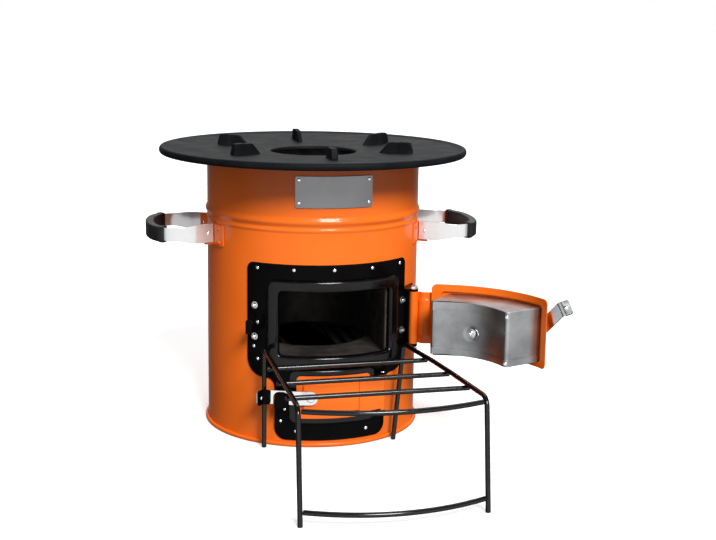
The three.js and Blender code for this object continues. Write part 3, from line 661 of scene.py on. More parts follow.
def hex_nut(radius, height, bolt=1.9, proud=1.6):
    """Chamfered hexagon with the end of its bolt standing through it."""
    loops = []
    for z, r, mix in ((0, radius, 0), (height * 0.72, radius, 0), (height * 0.9, radius * 0.94, 0.45), (height, radius * 0.86, 0.92)):
        lp = []
        for k in range(48):
            a = 2 * math.pi * k / 48
            k6 = (a + math.pi / 6) % (math.pi / 3) - math.pi / 6
            hexr = r * math.cos(math.pi / 6) / math.cos(k6)
            rr = hexr * (1 - mix) + min(hexr, r * math.cos(math.pi / 6) * 1.02) * mix
            lp.append((rr * math.cos(a), rr * math.sin(a), z))
        loops.append(lp)
    nut = rings(loops)
    end = lathe([(0, height - 0.5), (bolt, height - 0.5), (bolt, height + proud - 0.4), (bolt - 0.4, height + proud), (0, height + proud)], 20, closed=False)
    washer = lathe([(0, -0.02), (radius * 1.18, -0.02), (radius * 1.18, 0.45), (radius * 1.08, 0.6), (0, 0.6)], 28, closed=False)
    return merged([nut, end, washer])


# ------------------------------------------------------------------ drum
def drum():
    zs = [1.9, 6, 12]
    z = 20.0
    while z < 250:
        zs.append(z)
        z += 12
    line = [(DRUM_R, q) for q in zs] + [(DRUM_R, 250)]
    bead = []
    for q in range(0, 101):
        zz = 251 + q * 0.27
        h = 0.0
        for c, w, t in ((258.4, 3.6, 0.9), (268.2, 6.6, 2.2)):
            if abs(zz - c) < w:
                h += t * (0.5 + 0.5 * math.cos(math.pi * (zz - c) / w))
        bead.append((DRUM_R + h, zz))
    line += bead
    line += [(DRUM_R, q) for q in (282, 295, 310, 325, 334)]
    outer = line
    inner = [(r - 1.5, zz) for r, zz in line]
    seg = 180
    holes = ((-29, 32.5, 109, 189.5), (-18, 18.5, 40, 86))
    # Rows are nudged to the holes' edges.
    rows = [p[1] for p in outer]
    for _, _, z0, z1 in holes:
        for edge in (z0, z1):
            i = min(range(len(rows)), key=lambda k: abs(rows[k] - edge))
            rows[i] = edge
    outer = [(p[0], rows[i]) for i, p in enumerate(outer)]
    inner = [(p[0], rows[i]) for i, p in enumerate(inner)]
    az = [-180 + 360 * k / seg for k in range(seg)]
    for a0, a1, _, _ in holes:
        for edge in (a0, a1):
            i = min(range(seg), key=lambda k: abs(az[k] - edge))
            az[i] = edge
    n = len(outer)
    verts = []
    for a in az:
        for side in (outer, inner):
            for r, zz in side:
                verts.append((r * math.sin(a * D), -r * math.cos(a * D), zz))
    vid = lambda k, s, i: (k % seg) * 2 * n + s * n + i
    gone = set()
    for k in range(seg):
        mid = az[k] + ((az[(k + 1) % seg] - az[k]) % 360) / 2
        for i in range(n - 1):
            zm = (rows[i] + rows[i + 1]) / 2
            if any(a0 < mid < a1 and z0 < zm < z1 for a0, a1, z0, z1 in holes):
                gone.add((k, i))
    faces = []
    for k in range(seg):
        for i in range(n - 1):
            if (k, i) in gone:
                if ((k - 1) % seg, i) not in gone:
                    faces.append([vid(k, 0, i), vid(k, 0, i + 1), vid(k, 1, i + 1), vid(k, 1, i)])
                if ((k + 1) % seg, i) not in gone:
                    faces.append([vid(k + 1, 0, i), vid(k + 1, 0, i + 1), vid(k + 1, 1, i + 1), vid(k + 1, 1, i)])
                if (k, i - 1) not in gone:
                    faces.append([vid(k, 0, i), vid(k + 1, 0, i), vid(k + 1, 1, i), vid(k, 1, i)])
                if (k, i + 1) not in gone:
                    faces.append([vid(k, 0, i + 1), vid(k + 1, 0, i + 1), vid(k + 1, 1, i + 1), vid(k, 1, i + 1)])
                continue
            faces.append([vid(k, 0, i), vid(k + 1, 0, i), vid(k + 1, 0, i + 1), vid(k, 0, i + 1)])
            faces.append([vid(k, 1, i), vid(k + 1, 1, i), vid(k + 1, 1, i + 1), vid(k, 1, i + 1)])
        faces.append([vid(k, 0, 0), vid(k + 1, 0, 0), vid(k + 1, 1, 0), vid(k, 1, 0)])
        faces.append([vid(k, 0, n - 1), vid(k + 1, 0, n - 1), vid(k + 1, 1, n - 1), vid(k, 1, n - 1)])
    make("drum_sheet", verts, faces, ORANGE, "stove_body", ["drum_shell"], sharp=50)

    pan = [(0, 0), (120, 0), (131.4, 0.0)]
    for k in range(0, 13):
        t = -math.pi / 2 + math.pi * k / 12
        pan.append((131.4 + 2.2 * math.cos(t), 2.75 + 2.75 * math.sin(t)))
    pan += [(130.5, 5.2), (130.4, 1.6), (0, 1.6)]
    v, f = lathe(pan, 180, closed=False)
    make("drum_base_rim", v, f, ORANGE, "stove_body", ["base_pan"], sharp=55)


drum()

# ------------------------------------------------------------------ front frame and collars
R = 130.3
W = round_drum(R)
sq = [(-30.5, 8, 14), (30.5, 8, 14), (30.5, 82, 10), (46.5, 82, 22), (46.5, 219, 8), (-46.5, 219, 8), (-46.5, 82, 22), (-30.5, 82, 10)]
fuel = arcs(R, -28, 31.5, 111, 187.5, 5)
ash = arcs(R, -17, 17.5, 42, 84, 5)
EDGE = [(0.25, 0), (0, 0.3), (0, 0.7), (0.15, 1.1), (0.6, 1.4)]
pressed("front_frame_plate", "stove_body", [(R * a * D, z, r) for a, z, r in sq], [fuel, ash], EDGE, W, BLACK, ["door_frame"], grid=6)
BEAD = [(0.3, 0), (0, 0.5), (0, 2.2), (0.35, 3.6), (1.1, 4.6), (2.2, 5.2), (3.4, 5.5)]
R2 = 132.0
W2 = round_drum(R2)
pressed("fuel_opening_collar", "stove_body", arcs(R2, -34, 38, 98, 201, 10), [arcs(R2, -28, 31.5, 111, 187.5, 5)], BEAD, W2, GLOSS_BLACK,
        ["upper_collar"], grid=5)
pressed("ash_opening_collar", "stove_body", arcs(R2, -22.7, 22.6, 30, 95.5, 9), [arcs(R2, -17, 17.5, 42, 84, 5)],
        [(a, min(h, 5.1)) for a, h in BEAD], W2, GLOSS_BLACK, ["lower_collar"], grid=5)

# Name plate, bare, with a rolled edge line and four rivets.
RP = 130.3
pressed("name_plate_sheet", "stove_body", arcs(RP, -20.3, 20.3, 285, 322, 2.5), [], [(0.15, 0), (0, 0.2), (0, 0.7), (0.3, 1.0)], round_drum(RP),
        PLATE_STEEL, ["name_plate"], grid=6)
v, f = merged([moved(dome(2.0, 1.1), on_drum(a, 131.2, z)) for a in (-18.3, 18.3) for z in (291.2, 317.6)])
make("name_plate_rivets", v, f, BRIGHT, "stove_body", (), merge=0)

# Frame rivets and nuts.
spots = [(-40.2, 213), (-20.5, 213), (0, 213), (21, 213), (40.9, 213), (-40.2, 148), (-42.3, 118.6), (-39.9, 104), (18.5, 19), (-19, 19.7), (-18.2, 34.8)]
v, f = merged([moved(dome(2.3, 1.5), on_drum(a, 131.6, z)) for a, z in spots])
make("frame_rivets", v, f, BRIGHT, "stove_body", (), merge=0)
for (a, z), nm in zip([(-41.8, 168), (-41.8, 130.4), (43.6, 167), (43.6, 130)], ["left_upper", "left_lower", "right_upper", "right_lower"]):
    v, f = moved(hex_nut(3.6, 2.6), on_drum(a, 131.8, z))
    make(f"frame_hex_{nm}", v, f, BRIGHT, "stove_body", [f"frame_nut_{nm}"], merge=0)

v, f = merged([moved(dome(1.9, 1.3), on_drum(a, 133.3, z)) for a, z in ((-24.75, 46.4), (-26.9, 31.6))])
make("keeper_rivets", v, f, BRIGHT, "stove_body", (), merge=0)

# ------------------------------------------------------------------ cast-iron top
top = [(52, 333.4), (100, 333.4), (123.5, 333.4), (123.5, 328.6), (126.4, 328.6), (126.4, 334.5), (150, 334.5), (183, 334.5)]
rim = curve_profile([(183, 334.5), (186.0, 335.1), (187.5, 337), (187.8, 339.2), (187.2, 341.6), (185.4, 343.1), (183, 343.2), (180.6, 342.3), (178.2, 341.3),
                     (174, 340.75)], 4)
dish = [(160, 340.5), (140, 340.1), (120, 339.5), (105, 339.0), (90, 338.4), (75, 337.9), (62, 337.5), (56, 337.2), (53.4, 336.8), (52.2, 335.8)]
v, f = lathe(top[:-1] + rim + dish, 200)
IRON_TOP = make("cast_top_plate", v, f, IRON, "top_plate", ["cast_iron_top"], sharp=60)


def fin():
    """Pot support: a rib rising outward into a rounded knob, flared where it meets the plate."""
    loops = []
    run = [(84.5, 338.9, 1.4), (86.5, 341.0, 2.3), (90, 344.8, 2.55), (94, 349.0, 2.65), (96.4, 351.3, 2.7), (98.4, 352.0, 2.75), (104, 352.05, 2.75),
           (109, 352.1, 2.8), (110.2, 352.35, 3.7), (111.2, 352.6, 4.0), (118, 352.6, 4.0), (121.6, 352.5, 3.95), (122.9, 351.5, 3.8), (124.1, 347.6, 3.7), (125.4, 342.6, 3.6)]
    for r, ztop, hw in run:
        zb = 337.2 if r < 112 else 337.6
        base = hw + 1.3
        e = min(1.3, (ztop - zb) * 0.3)
        loops.append([(r, -base, zb), (r, -hw - 0.5, zb + 2.4 if ztop - zb > 5 else zb + 0.6), (r, -hw, (zb + ztop) / 2 + 1 if ztop - zb > 5 else zb + 1.0),
                      (r, -hw, ztop - e), (r, -hw + e * 0.4, ztop - e * 0.3), (r, -hw + e, ztop), (r, hw - e, ztop), (r, hw - e * 0.4, ztop - e * 0.3), (r, hw, ztop - e),
                      (r, hw, (zb + ztop) / 2 + 1 if ztop - zb > 5 else zb + 1.0), (r, hw + 0.5, zb + 2.4 if ztop - zb > 5 else zb + 0.6), (r, base, zb)])
    return rings(loops)


v, f = merged([moved(fin(), Matrix.Rotation((-90 + 60 * i) * D, 4, "Z")) for i in range(6)])
make("pot_support_fins", v, f, IRON, "top_plate", (), merge=0, sharp=50)

# ------------------------------------------------------------------ fuel door
TURN = (HINGE, DOOR_OPEN)
RD = 138.2
WD = round_drum(RD, TURN)


def emboss(cx0, cz0, cx1, cz1, r, depth, run):
    """Height of a centre pressed out inside a rounded rectangle, rising over run."""
    mx, mz = (cx0 + cx1) / 2, (cz0 + cz1) / 2
    hx, hz = (cx1 - cx0) / 2, (cz1 - cz0) / 2

    def f(s, z):
        qx, qz = abs(s - mx) - hx + r, abs(z - mz) - hz + r
        d = math.hypot(max(qx, 0), max(qz, 0)) + min(max(qx, qz), 0) - r
        t = max(0.0, min(1.0, -d / run))
        return depth * t * t * (3 - 2 * t)
    return f


def door_panel(name, cadnode, body, R, a0, a1, z0, z1, middle, wrap, corner=6, grid=5, run=2.6):
    """Sheet with a flat border and its middle (a0, a1, z0, z1) pressed out by 3 mm."""
    s0, s1 = R * a0 * D, R * a1 * D
    c0, c1, m0, m1 = R * middle[0] * D, R * middle[1] * D, middle[2], middle[3]
    ins = rect(c0, m0, c1, m1, 6)
    ridges = [densify(outline(ins, k, 5), 4) for k in (0.02, 0.5, 1.1, 1.7, 2.2, 2.6)]
    prof = [(0.2, 0), (0, 0.2), (0, 0.95), (0.3, 1.2)]
    return pressed(name, body, rect(s0, z0, s1, z1, corner), [], prof, wrap, ORANGE, [cadnode], grid=grid,
                   lift=emboss(c0, m0, c1, m1, 6, 3.0, run), ridges=ridges)


def swung(m):
    """The same place with the fuel door open."""
    hx, hy = HINGE
    return Matrix.Translation((hx, hy, 0)) @ Matrix.Rotation(DOOR_OPEN * D, 4, "Z") @ Matrix.Translation((-hx, -hy, 0)) @ m


door_panel("fuel_door_panel", "upper_door_panel", "fuel_door", RD, -28.7, 36.3, 108.5, 190.1, (-24.8, 32, 113, 182), WD)


def shield_box():
    """Pressed box: folded caps stand proud of the side sheet at top and bottom, and the bolt sits in a dished place."""
    face = []
    for i in range(1, 60):
        t = i / 60
        face.append((-38.2 + 99.4 * t, -79.7 + 5.1 * t - 16.9 * 4 * t * (1 - t)))
    path = [tuple(q)[:2] for q in bent_path([(-55, -129.4, 0), (-55, -123.6, 0, 5), (-38.2, -79.7, 0, 4.6), (*face[2], 0)], 8)]
    path += face[3:-2]
    path += [tuple(q)[:2] for q in bent_path([(*face[-2], 0), (61.2, -74.6, 0, 3.4), (64.2, -121.2, 0, 4), (64.2, -125.0, 0)], 8)]
    long = [path[0]]
    for q in path[1:]:
        d = math.hypot(q[0] - long[-1][0], q[1] - long[-1][1])
        k = max(1, math.ceil(d / 2.2))
        a = long[-1]
        long += [(a[0] + (q[0] - a[0]) * j / k, a[1] + (q[1] - a[1]) * j / k) for j in range(1, k + 1)]
    path = long
    n = len(path)
    normals = []
    for i in range(n):
        a, b = path[max(0, i - 1)], path[min(n - 1, i + 1)]
        dx, dy = b[0] - a[0], b[1] - a[1]
        d = math.hypot(dx, dy) or 1
        normals.append((-dy / d, dx / d))
    back = [(140.6 * math.sin(a * D), -140.6 * math.cos(a * D)) for a in [26 - 48 * k / 24 for k in range(25)]]
    prof = [(115, 1.5), (115.12, 0.85), (115.5, 0.3), (116.2, 0.0), (119, 0.0), (123.3, 0.0), (123.55, 0.12), (123.6, 0.7), (124.2, 0.74)]
    z = 126.0
    while z < 167.5:
        prof.append((z, 0.74))
        z += 1.75
    prof += [(168.4, 0.74), (169.0, 0.7), (169.05, 0.12), (169.3, 0.0), (173, 0.0), (177.8, 0.0), (178.5, 0.3), (178.88, 0.85), (179, 1.5)]
    loops = []
    for z, d in prof:
        lp = []
        for (x, y), (nx, ny) in zip(path, normals):
            e = d
            r = math.hypot(x - 15.5, z - 143.5)
            if y > -100 and r < 10:
                t = max(0.0, min(1.0, (10 - r) / 4.5))
                e += 1.5 * t * t * (3 - 2 * t)
            lp.append((x - nx * e, y - ny * e, z))
        lp += [(x, y, z) for x, y in back]
        loops.append(lp)
    v, f = rings(loops)
    return moved((v, f), swung(Matrix.Identity(4)))


v, f = shield_box()
make("shield_box", v, f, BRUSHED, "fuel_door", ["upper_door_box"], sharp=30)
facing = Matrix.Translation((15.5, -94.95, 143.5)) @ Matrix.Rotation(-math.pi / 2, 4, "X")
v, f = merged([hex_nut(5.0, 4.2, 2.4, 1.4), lathe([(0, -44.7), (2.4, -44.7), (2.4, -0.02), (0, -0.02)], 20, closed=False)])
v, f = moved((v, f), swung(facing @ Matrix.Rotation(0.4, 4, "Z")))
make("box_hex_bolt", v, f, BRIGHT, "fuel_door", ["box_bolt"], merge=0)


def at_corner(x, y, z, deg):
    """Rivet place on an upright corner, looking out along deg from +X."""
    n = Vector((math.cos(deg * D), math.sin(deg * D), 0))
    m = Matrix(((-n.y, 0, n.x, x), (n.x, 0, n.y, y), (0, 1, 0, z), (0, 0, 0, 1)))
    return m


v, f = merged([moved(dome(2.3, 1.3), swung(at_corner(-37.6, -81.2, z, 122))) for z in (173.6, 119.6)])
make("box_rivets", v, f, BRIGHT, "fuel_door", (), merge=0)


def sheet_along(corners, bend=6):
    """wrap() for a sheet that follows a bent line in plan; s runs along it and h stands off it to the left."""
    pts = [Vector((q.x, q.y)) for q in bent_path([(c[0], c[1], 0) + tuple(c[2:]) for c in corners], bend)]
    run = [0.0]
    for a, b in zip(pts, pts[1:]):
        run.append(run[-1] + (b - a).length)

    def at(q):
        i = 0
        while i < len(run) - 2 and q > run[i + 1]:
            i += 1
        a, b = pts[i], pts[i + 1]
        t = (q - run[i]) / max(1e-9, run[i + 1] - run[i])

        def normal(j):
            u = (pts[min(len(pts) - 1, j + 1)] - pts[max(0, j - 1)]).normalized()
            return Vector((-u.y, u.x))
        n = normal(i).lerp(normal(i + 1), max(0.0, min(1.0, t))).normalized()
        return a.lerp(b, t) if t <= 1 else b + (b - a).normalized() * (q - run[i + 1]), n
    return at, run[-1]


# Hinge arm: laid on the panel's face, then free as far as the sleeve, with a pressed hollow.
arc_pts = [(143.0 * math.sin(a * D), -143.0 * math.cos(a * D)) for a in (40.2, 37, 34, 31, 28.5, 26.6)]
arm_at, arm_len = sheet_along([(101.4, -110.6), (*arc_pts[0], 3)] + arc_pts[1:])


def arm_wrap(q, z, h):
    p, n = arm_at(q)
    m = swung(Matrix.Identity(4)) @ Vector((p.x - n.x * h, p.y - n.y * h, z))
    return tuple(m)


probe = arm_at(20)[1]
outward = -1 if probe.x * 90 + probe.y * -110 > 0 else 1


def arm_face(q, z, h):
    return arm_wrap(q, z, outward * h)


hollow = emboss(1.8, 123.5, 18.5, 171.5, 5, 1.5, 2.6)
part_a = pressed("hinge_arm_leaf", "fuel_door", rect(0, 116, arm_len, 179, 2.5), [], [(0.3, -0.3), (0, 0), (0, 1.0), (0.3, 1.3)], arm_face, ORANGE, (),
                 grid=3, lift=lambda q, z: -hollow(q, z) * 0.8, ridges=[densify(outline(rect(1.8, 123.5, 18.5, 171.5, 5), k, 5), 3) for k in (0.05, 1.0, 1.9, 2.7)], step_len=3)
ring_prof = [(2.95, 115.9), (3.2, 115.6), (4.9, 115.6), (5.2, 115.9), (5.2, 179.1), (4.9, 179.4), (3.2, 179.4), (2.95, 179.1)]
v, f = lathe(ring_prof, 40)
v = [(x + HINGE[0], y + HINGE[1], z) for x, y, z in v]
make("hinge_arm_sleeve", v, f, ORANGE, "fuel_door", ["upper_hinge_arm"], sharp=50)

# ------------------------------------------------------------------ ash door
door_panel("ash_door_panel", "lower_door_panel", "ash_door", RD, -18.4, 18.6, 37.5, 88.8, (-15.7, 15.9, 44, 82.3), round_drum(RD), corner=5, grid=4)
refine("lower_hinge_leaf", ORANGE, 0.4, 2)

# ------------------------------------------------------------------ hinge, latch and keeper pieces
refine("upper_hinge_bracket", BLACK, 0.5, 2)
refine("lower_hinge_bracket", BLACK, 0.4, 2)
refine("lower_hinge_pin", BRIGHT, 0.4, 2)
refine("upper_latch_keeper", BLACK, 0.5, 2)
refine("lower_latch_keeper", BLACK, 0.5, 2)


def latch(which, body, az, n, z, bend, lean, grip, angle, turn, notch=None):
    """Strap with a finger tab bent out at its end, a black plate over the tab, and rivets."""
    w, T, L = 8.4, 1.5, 11.8
    le, up = lean * D, 58 * D
    b = (-14 - (bend - 14) * math.cos(le), -(bend - 14) * math.sin(le))
    e = (b[0] - L * math.cos(up), b[1] + L * math.sin(up))
    at, total = sheet_along([(w, 0), (-14, 0, 22), (*b, 6.5), e], 10)
    m = on_drum(az, n, z, turn) @ Matrix.Rotation(angle * D, 4, "Z")

    def wrap(q, y, h):
        p, nn = at(q + w)
        return tuple(m @ Vector((p.x - nn.x * h * flip, y, p.y - nn.y * h * flip)))

    flip = -1 if at(10)[1].y > 0 else 1
    end = total - w
    if notch:
        u0, u1, top = notch
        corners = [(-w, -w, 8.3), (u0, -w, 0.8), (u0, top, 7), (u1, top, 7), (u1, -w, 0.8), (end, -w, 3.2), (end, w, 3.2), (-w, w, 8.3)]
    else:
        corners = [(-w, -w, 8.3), (end, -w, 3.2), (end, w, 3.2), (-w, w, 8.3)]
    lines = [rect(q, -w + 1, q + 0.6, w - 1, 0.2) for q in [bend - 4.2 + 1.2 * k for k in range(7)]]
    lines = [densify([(x, y) for x, y, _ in c], 3) for c in lines]
    pressed(f"{which}_latch_bar", body, corners, [], [(0.3, 0), (0, 0.3), (0, T - 0.3), (0.3, T)], wrap, BRIGHT, [f"{which}_latch_strap"],
            grid=2.6, ridges=lines, step_len=1.5, steps=8)
    pressed(f"{which}_latch_cap", body, rect(grip, -w - 0.5, end + 0.6, w + 0.5, 2.6), [], [(0.4, 1.8), (0, 2.2), (0, 3.3), (0.2, 3.65), (0.7, 3.8)], wrap, BLACK,
            [f"{which}_latch_grip"], grid=2.6, ridges=[q for q in lines if q[0][0] > grip + 1], step_len=1.5, steps=6)
    # Rivets: the pivot, and the one that holds the tab's plate.
    head = [(0, 1.8), (5.0, 1.8), (5.1, 2.0)] + [(4.9 * math.cos(t), 2.2 + 1.5 * math.sin(t)) for t in [k * math.pi / 2 / 8 for k in range(8)]] + [(0, 3.7)]
    shank = [(0, -0.6), (2.8, -0.6), (2.8, 1.78), (0, 1.78)]
    v, f = moved(merged([lathe(head, 32, closed=False), lathe(shank, 24, closed=False)]), m)
    make(f"{which}_latch_rivet", v, f, BRIGHT, body, [f"{which}_latch_pivot"], merge=0)
    p, nn = at(end + w - 5.6)
    out = Vector((-nn.x * flip, 0, -nn.y * flip))
    side = Vector((0, 1, 0))
    frame_m = Matrix(((side.cross(out).x, side.x, out.x, p.x), (side.cross(out).y, side.y, out.y, 0), (side.cross(out).z, side.z, out.z, p.y), (0, 0, 0, 1)))
    over = moved(dome(2.4, 1.3), m @ frame_m @ Matrix.Translation((0, 0, 3.75)))
    under = moved(dome(2.5, 0.9), m @ frame_m @ Matrix.Rotation(math.pi, 4, "X"))
    v, f = merged([over, under])
    make(f"{which}_tab_rivet", v, f, BRIGHT, body, (), merge=0)


latch("upper", "fuel_door_latch", -19.9, 144.2, 150.3, 59, 13, 57.8, -37.2, TURN)
latch("lower", "ash_door_latch", -11.5, 143.8, 64, 57.5, 10, 47, 0, None, (25.4, 43.6, 6.6))


def threaded(x, y, z0, z1, r, pitch=1.0, ends=9.0):
    """Hinge rod: plain shank, with thread rings at both ends."""
    prof = [(0, z0), (r - 0.5, z0), (r, z0 + 0.6)]
    z = z0 + 0.8
    while z < z0 + ends:
        prof += [(r, z), (r - 0.28, z + pitch * 0.5)]
        z += pitch
    prof += [(r, z), (r, z1 - ends)]
    z = z1 - ends + 0.3
    while z < z1 - 0.8:
        prof += [(r, z), (r - 0.28, z + pitch * 0.5)]
        z += pitch
    prof += [(r, z1 - 0.6), (r - 0.5, z1), (0, z1)]
    v, f = lathe(prof, 24, closed=False)
    return [(a + x, b + y, c) for a, b, c in v], f


v, f = threaded(HINGE[0], HINGE[1], 109.2, 187.0, 2.6)
make("hinge_rod", v, f, BRIGHT, "stove_body", ["upper_hinge_rod"], merge=0)
for nm, z in (("top", 182.7), ("bottom", 109.6)):
    h = 3.7 if nm == "top" else 2.7
    v, f = hex_nut(4.6, h, 2.6, 0.4)
    v = [(a + HINGE[0], b + HINGE[1], c + z) for a, b, c in v]
    make(f"hinge_nut_{nm}", v, f, BRIGHT, "stove_body", [f"hinge_rod_nut_{nm}"], merge=0)

# ------------------------------------------------------------------ carrying handles
HALF = [(126.3, -41.6), (131, -44), (136, -46.5), (142.5, -49.7), (151, -53.6), (162, -56.6), (173.7, -56.4), (187, -49.5), (195.4, -34), (199.2, -16)]
PATH = HALF + [(199.8, 0)] + [(x, -y) for x, y in HALF[::-1]]
HANDLE_TURN = Matrix.Rotation(-3.5 * D, 4, "Z")


def strap_sections(path, t, spans, side, e=0.5):
    """Rounded flat section carried along a path in XY; spans(x) gives its bottom and top."""
    loops = []
    n = len(path)
    for i, (x, y) in enumerate(path):
        a, b = path[max(0, i - 1)], path[min(n - 1, i + 1)]
        tx, ty = b[0] - a[0], b[1] - a[1]
        d = math.hypot(tx, ty)
        nx, ny = -ty / d, tx / d
        z0, z1 = spans(x, y)
        lp = []
        for (cu, cz, a0) in ((1, 0, -90), (1, 1, 0), (-1, 1, 90), (-1, 0, 180)):
            for k in range(4):
                an = (a0 + k * 30) * D
                u = cu * (t / 2 - e) + e * math.cos(an)
                z = (z1 - e if cz else z0 + e) + e * math.sin(an)
                lp.append((side * (x + nx * u), y + ny * u, z))
        loops.append(lp)
    return rings(loops)


def ease(a, b, t):
    t = max(0.0, min(1.0, t))
    return a + (b - a) * t * t * (3 - 2 * t)


smooth_path = curve_profile(PATH, 7)


def strap_span(x, y):
    return ease(232.0, 236.3, (x - 141) / 31), ease(254.6, 252.0, (x - 141) / 31)


for side, s in (("right", 1), ("left", -1)):
    v, f = moved(strap_sections(smooth_path, 2.2, strap_span, s), HANDLE_TURN)
    make(f"{side}_carry_strap", v, f, ZINC, "stove_body", [f"{side}_handle_strap"], sharp=60)
    run = [p for p in smooth_path if p[0] > 182]
    ends = [p for p in run if p[0] < 187.5]
    v, f = merged([strap_sections(run, 10.4, lambda x, y: (235.0, 253.3), s, e=2.4)]
                  + [strap_sections([p for p in ends if p[1] * k > 0], 11.4, lambda x, y: (234.45, 253.85), s, e=2.4) for k in (-1, 1)])
    v, f = moved((v, f), HANDLE_TURN)
    make(f"{side}_carry_grip", v, f, GRIP, "stove_body", [f"{side}_handle_grip"], sharp=60, merge=0)
    for end in ("front", "rear"):
        refine(f"{side}_handle_bracket_{end}", ORANGE, 0.6, 2)
    v, f = merged([moved(dome(2.6, 1.5), HANDLE_TURN @ on_drum(s * a * m + (0 if m == 1 else 180 * s), 131.7, z)) for m in (1, -1) for a, z in ((65, 233.5), (65, 250))])
    make(f"{side}_bracket_rivets", v, f, ORANGE, "stove_body", (), merge=0)
    # Rivet through the strap's end and the flange behind it.
    spots = []
    for m in (1, -1):
        face = Vector((0.457 * s, -0.889 * m, 0))
        base = Vector((131.6 * s, -41.69 * m, 243.2))
        deg = math.degrees(math.atan2(face.y, face.x))
        out_at, in_at = base + face * 3.35, base - face * 0.9
        spots.append(moved(dome(3.0, 1.6), HANDLE_TURN @ at_corner(*out_at, deg)))
        spots.append(moved(dome(2.6, 1.2), HANDLE_TURN @ at_corner(*in_at, deg + 180)))
    v, f = merged(spots)
    make(f"{side}_strap_rivets", v, f, BRIGHT, "stove_body", (), merge=0)

# ------------------------------------------------------------------ fuel rack
RL, RR, FL, FR = (-79.6, -118.0), (77.7, -117.8), (-82.8, -364.3), (115.7, -362.5)
BAR_Z = RAIL_Z - 2 * ROD_R - 0.3
v, f = tube([(*RL, 0), (*RL, RAIL_Z, 6), (-82.4, -346, RAIL_Z, 12), (*FL, 0)], ROD_R)
make("rack_rail_left", v, f, ROD_BLACK, "fuel_rack", ["rack_left_frame"], sharp=60)
v, f = tube([(*RR, 0), (87.5, -120.5, RAIL_Z, 6), (92, -157, RAIL_Z, 30), (100, -205, RAIL_Z), (106, -255, RAIL_Z, 60), (115.2, -347, RAIL_Z, 12), (*FR, 0)], ROD_R)
make("rack_rail_right", v, f, ROD_BLACK, "fuel_rack", ["rack_right_frame"], sharp=60)
for i, ((yl, yr), xr) in enumerate(zip(((-182, -177), (-242, -237), (-296, -292)), (100.5, 108.5, 114.5))):
    v, f = tube([(-86, yl, BAR_Z), (xr, yr, BAR_Z)], ROD_R)
    make(f"rack_bar_{i + 1}", v, f, ROD_BLACK, "fuel_rack", [f"rack_cross_bar_{i + 1}"], sharp=60)


def bow(x0, x1, y0, y1, sag, z, n=32):
    return [(x0 + (x1 - x0) * k / n, y0 + (y1 - y0) * k / n - sag * 4 * (k / n) * (1 - k / n), z) for k in range(n + 1)]


v, f = tube(bow(-78.8, 111.6, -345, -346.5, 19, BAR_Z + 1), ROD_R)
make("rack_bar_front", v, f, ROD_BLACK, "fuel_rack", ["rack_front_bar"], sharp=60)
v, f = tube(bow(-79.7, 112.6, -363, -361, 22, 15), ROD_R)
make("rack_bar_lower", v, f, ROD_BLACK, "fuel_rack", ["rack_lower_bar"], sharp=60)

# ------------------------------------------------------------------ inside
paint("insulation_fill", FILL)
for nm in ("combustion_chamber", "riser_tube", "feed_tunnel", "ash_tunnel", "ash_floor", "top_cover_ring"):
    refine(nm, SOOT, 0)
refine("fire_grate", IRON, 0.6, 2)

# ------------------------------------------------------------------ floor, light and camera
fm, fnt, fb = material("floor_white", (0.86, 0.86, 0.86), 0.8, spec=0.0)
fb.inputs["Emission Color"].default_value = (1, 1, 1, 1)
fb.inputs["Emission Strength"].default_value = 0.32
fnt.links.new(ramp(fnt, noise(fnt, position(fnt), 3.0), [(0.3, (0.86, 0.86, 0.86)), (0.7, (0.87, 0.87, 0.87))]), fb.inputs["Base Color"])
me = bpy.data.meshes.new("floor")
me.from_pydata([(-30, -30, 0), (30, -30, 0), (30, 30, 0), (-30, 30, 0)], [], [(0, 1, 2, 3)])
floor = bpy.data.objects.new("floor", me)
bpy.context.scene.collection.objects.link(floor)
me.materials.append(fm)
floor.visible_glossy = False
floor.visible_diffuse = False

scene = bpy.context.scene
scene.view_settings.view_transform = "Standard"
scene.view_settings.look = "None"
world = bpy.data.worlds.new("studio")
scene.world = world
world.use_nodes = True
wn = world.node_tree
wn.nodes.clear()


def background(strength=1.0):
    n = wn.nodes.new("ShaderNodeBackground")
    n.inputs["Color"].default_value = (1, 1, 1, 1)
    n.inputs["Strength"].default_value = strength
    return n


def wmath(op, a, b=None, c=None):
    n = wn.nodes.new("ShaderNodeMath")
    n.operation = op
    for k, q in enumerate((a, b, c)):
        if q is None:
            continue
        if isinstance(q, (int, float)):
            n.inputs[k].default_value = q
        else:
            wn.links.new(q, n.inputs[k])
    return n.outputs[0]


def step_up(v, lo, hi, gain):
    n = wn.nodes.new("ShaderNodeMapRange")
    n.interpolation_type = "SMOOTHSTEP"
    n.inputs["From Min"].default_value = lo
    n.inputs["From Max"].default_value = hi
    n.inputs["To Min"].default_value = 0.0
    n.inputs["To Max"].default_value = gain
    wn.links.new(v, n.inputs["Value"])
    return n.outputs["Result"]


co_ = wn.nodes.new("ShaderNodeTexCoord")
sep = wn.nodes.new("ShaderNodeSeparateXYZ")
wn.links.new(co_.outputs["Generated"], sep.inputs["Vector"])
X, Y, Z = sep.outputs["X"], sep.outputs["Y"], sep.outputs["Z"]
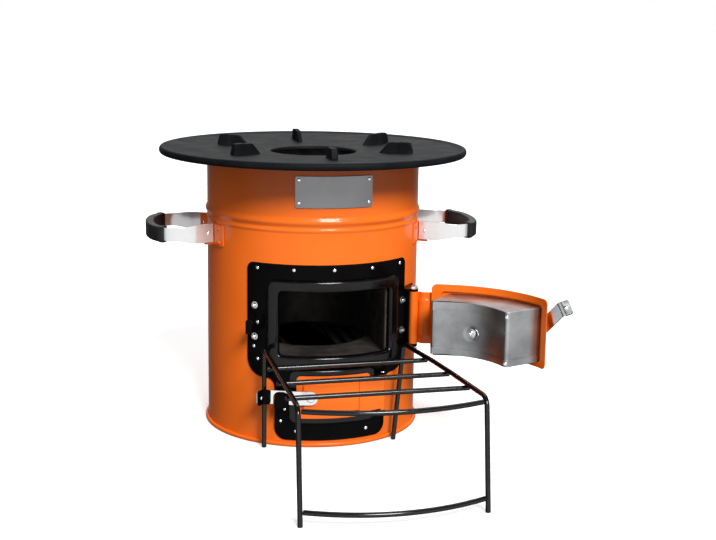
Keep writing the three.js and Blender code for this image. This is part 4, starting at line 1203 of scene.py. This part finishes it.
# Studio seen in reflections: a wide bright wall in front, dark sides, a pale wall far behind, a soft ceiling.
front = wmath("ADD", wmath("MULTIPLY", X, 0.05), wmath("MULTIPLY", Y, -0.999))
behind = wmath("ADD", wmath("MULTIPLY", X, 0.230), wmath("MULTIPLY", Y, 0.973))
wall = wmath("MULTIPLY", step_up(front, -0.3, 0.85, 1.0), wmath("SUBTRACT", 1.0, step_up(Z, 0.3, 0.62, 1.0)))
refl = wmath("ADD", wmath("ADD", wall, step_up(behind, 0.8, 0.99, 0.32)), wmath("ADD", step_up(Z, 0.3, 0.9, 0.16), 0.07))
glossy = background()
wn.links.new(refl, glossy.inputs["Strength"])
# Light on the surfaces: low and even from the sides, more from above.
lit = wmath("ADD", step_up(Z, 0.1, 0.9, 0.3), 0.24)
fillbg = background()
wn.links.new(lit, fillbg.inputs["Strength"])
seen = background(1.0)
ray = wn.nodes.new("ShaderNodeLightPath")
mix_a = wn.nodes.new("ShaderNodeMixShader")
mix_b = wn.nodes.new("ShaderNodeMixShader")
out = wn.nodes.new("ShaderNodeOutputWorld")
wn.links.new(ray.outputs["Is Glossy Ray"], mix_a.inputs["Fac"])
wn.links.new(fillbg.outputs["Background"], mix_a.inputs[1])
wn.links.new(glossy.outputs["Background"], mix_a.inputs[2])
wn.links.new(ray.outputs["Is Camera Ray"], mix_b.inputs["Fac"])
wn.links.new(mix_a.outputs["Shader"], mix_b.inputs[1])
wn.links.new(seen.outputs["Background"], mix_b.inputs[2])
wn.links.new(mix_b.outputs["Shader"], out.inputs["Surface"])


def sun(name, direction, strength, angle):
    li = bpy.data.lights.new(name, "SUN")
    li.energy = strength
    li.angle = angle * D
    ob = bpy.data.objects.new(name, li)
    ob.rotation_euler = Vector(direction).to_track_quat("-Z", "Y").to_euler()
    scene.collection.objects.link(ob)
    return ob


sun("front_light", (-0.16, 1.0, -0.8), 3.9, 20)
sun("back_light", (-0.35, -1.0, -1.3), 1.3, 60)

C = Vector((-315.3, -1577.8, 515.1)) * MM
yaw, pitch, roll, turn = 2.04 * D, 11.5 * D, 0.92 * D, -11.3 * D
fw = Vector((math.sin(yaw) * math.cos(pitch), math.cos(yaw) * math.cos(pitch), -math.sin(pitch)))
rt = Vector((math.cos(yaw), -math.sin(yaw), 0))
upw = rt.cross(fw)
right = math.cos(roll) * rt + math.sin(roll) * upw
upv = -math.sin(roll) * rt + math.cos(roll) * upw
rz = Matrix.Rotation(turn, 3, "Z")
right, upv, fw = rz @ right, rz @ upv, rz @ fw
cam = bpy.data.cameras.new("camera")
cam.lens = 65.92
cam.sensor_width = 36
cam.clip_end = 100
co = bpy.data.objects.new("camera", cam)
co.matrix_world = Matrix(((right.x, upv.x, -fw.x, C.x), (right.y, upv.y, -fw.y, C.y), (right.z, upv.z, -fw.z, C.z), (0, 0, 0, 1)))
scene.collection.objects.link(co)
scene.camera = co
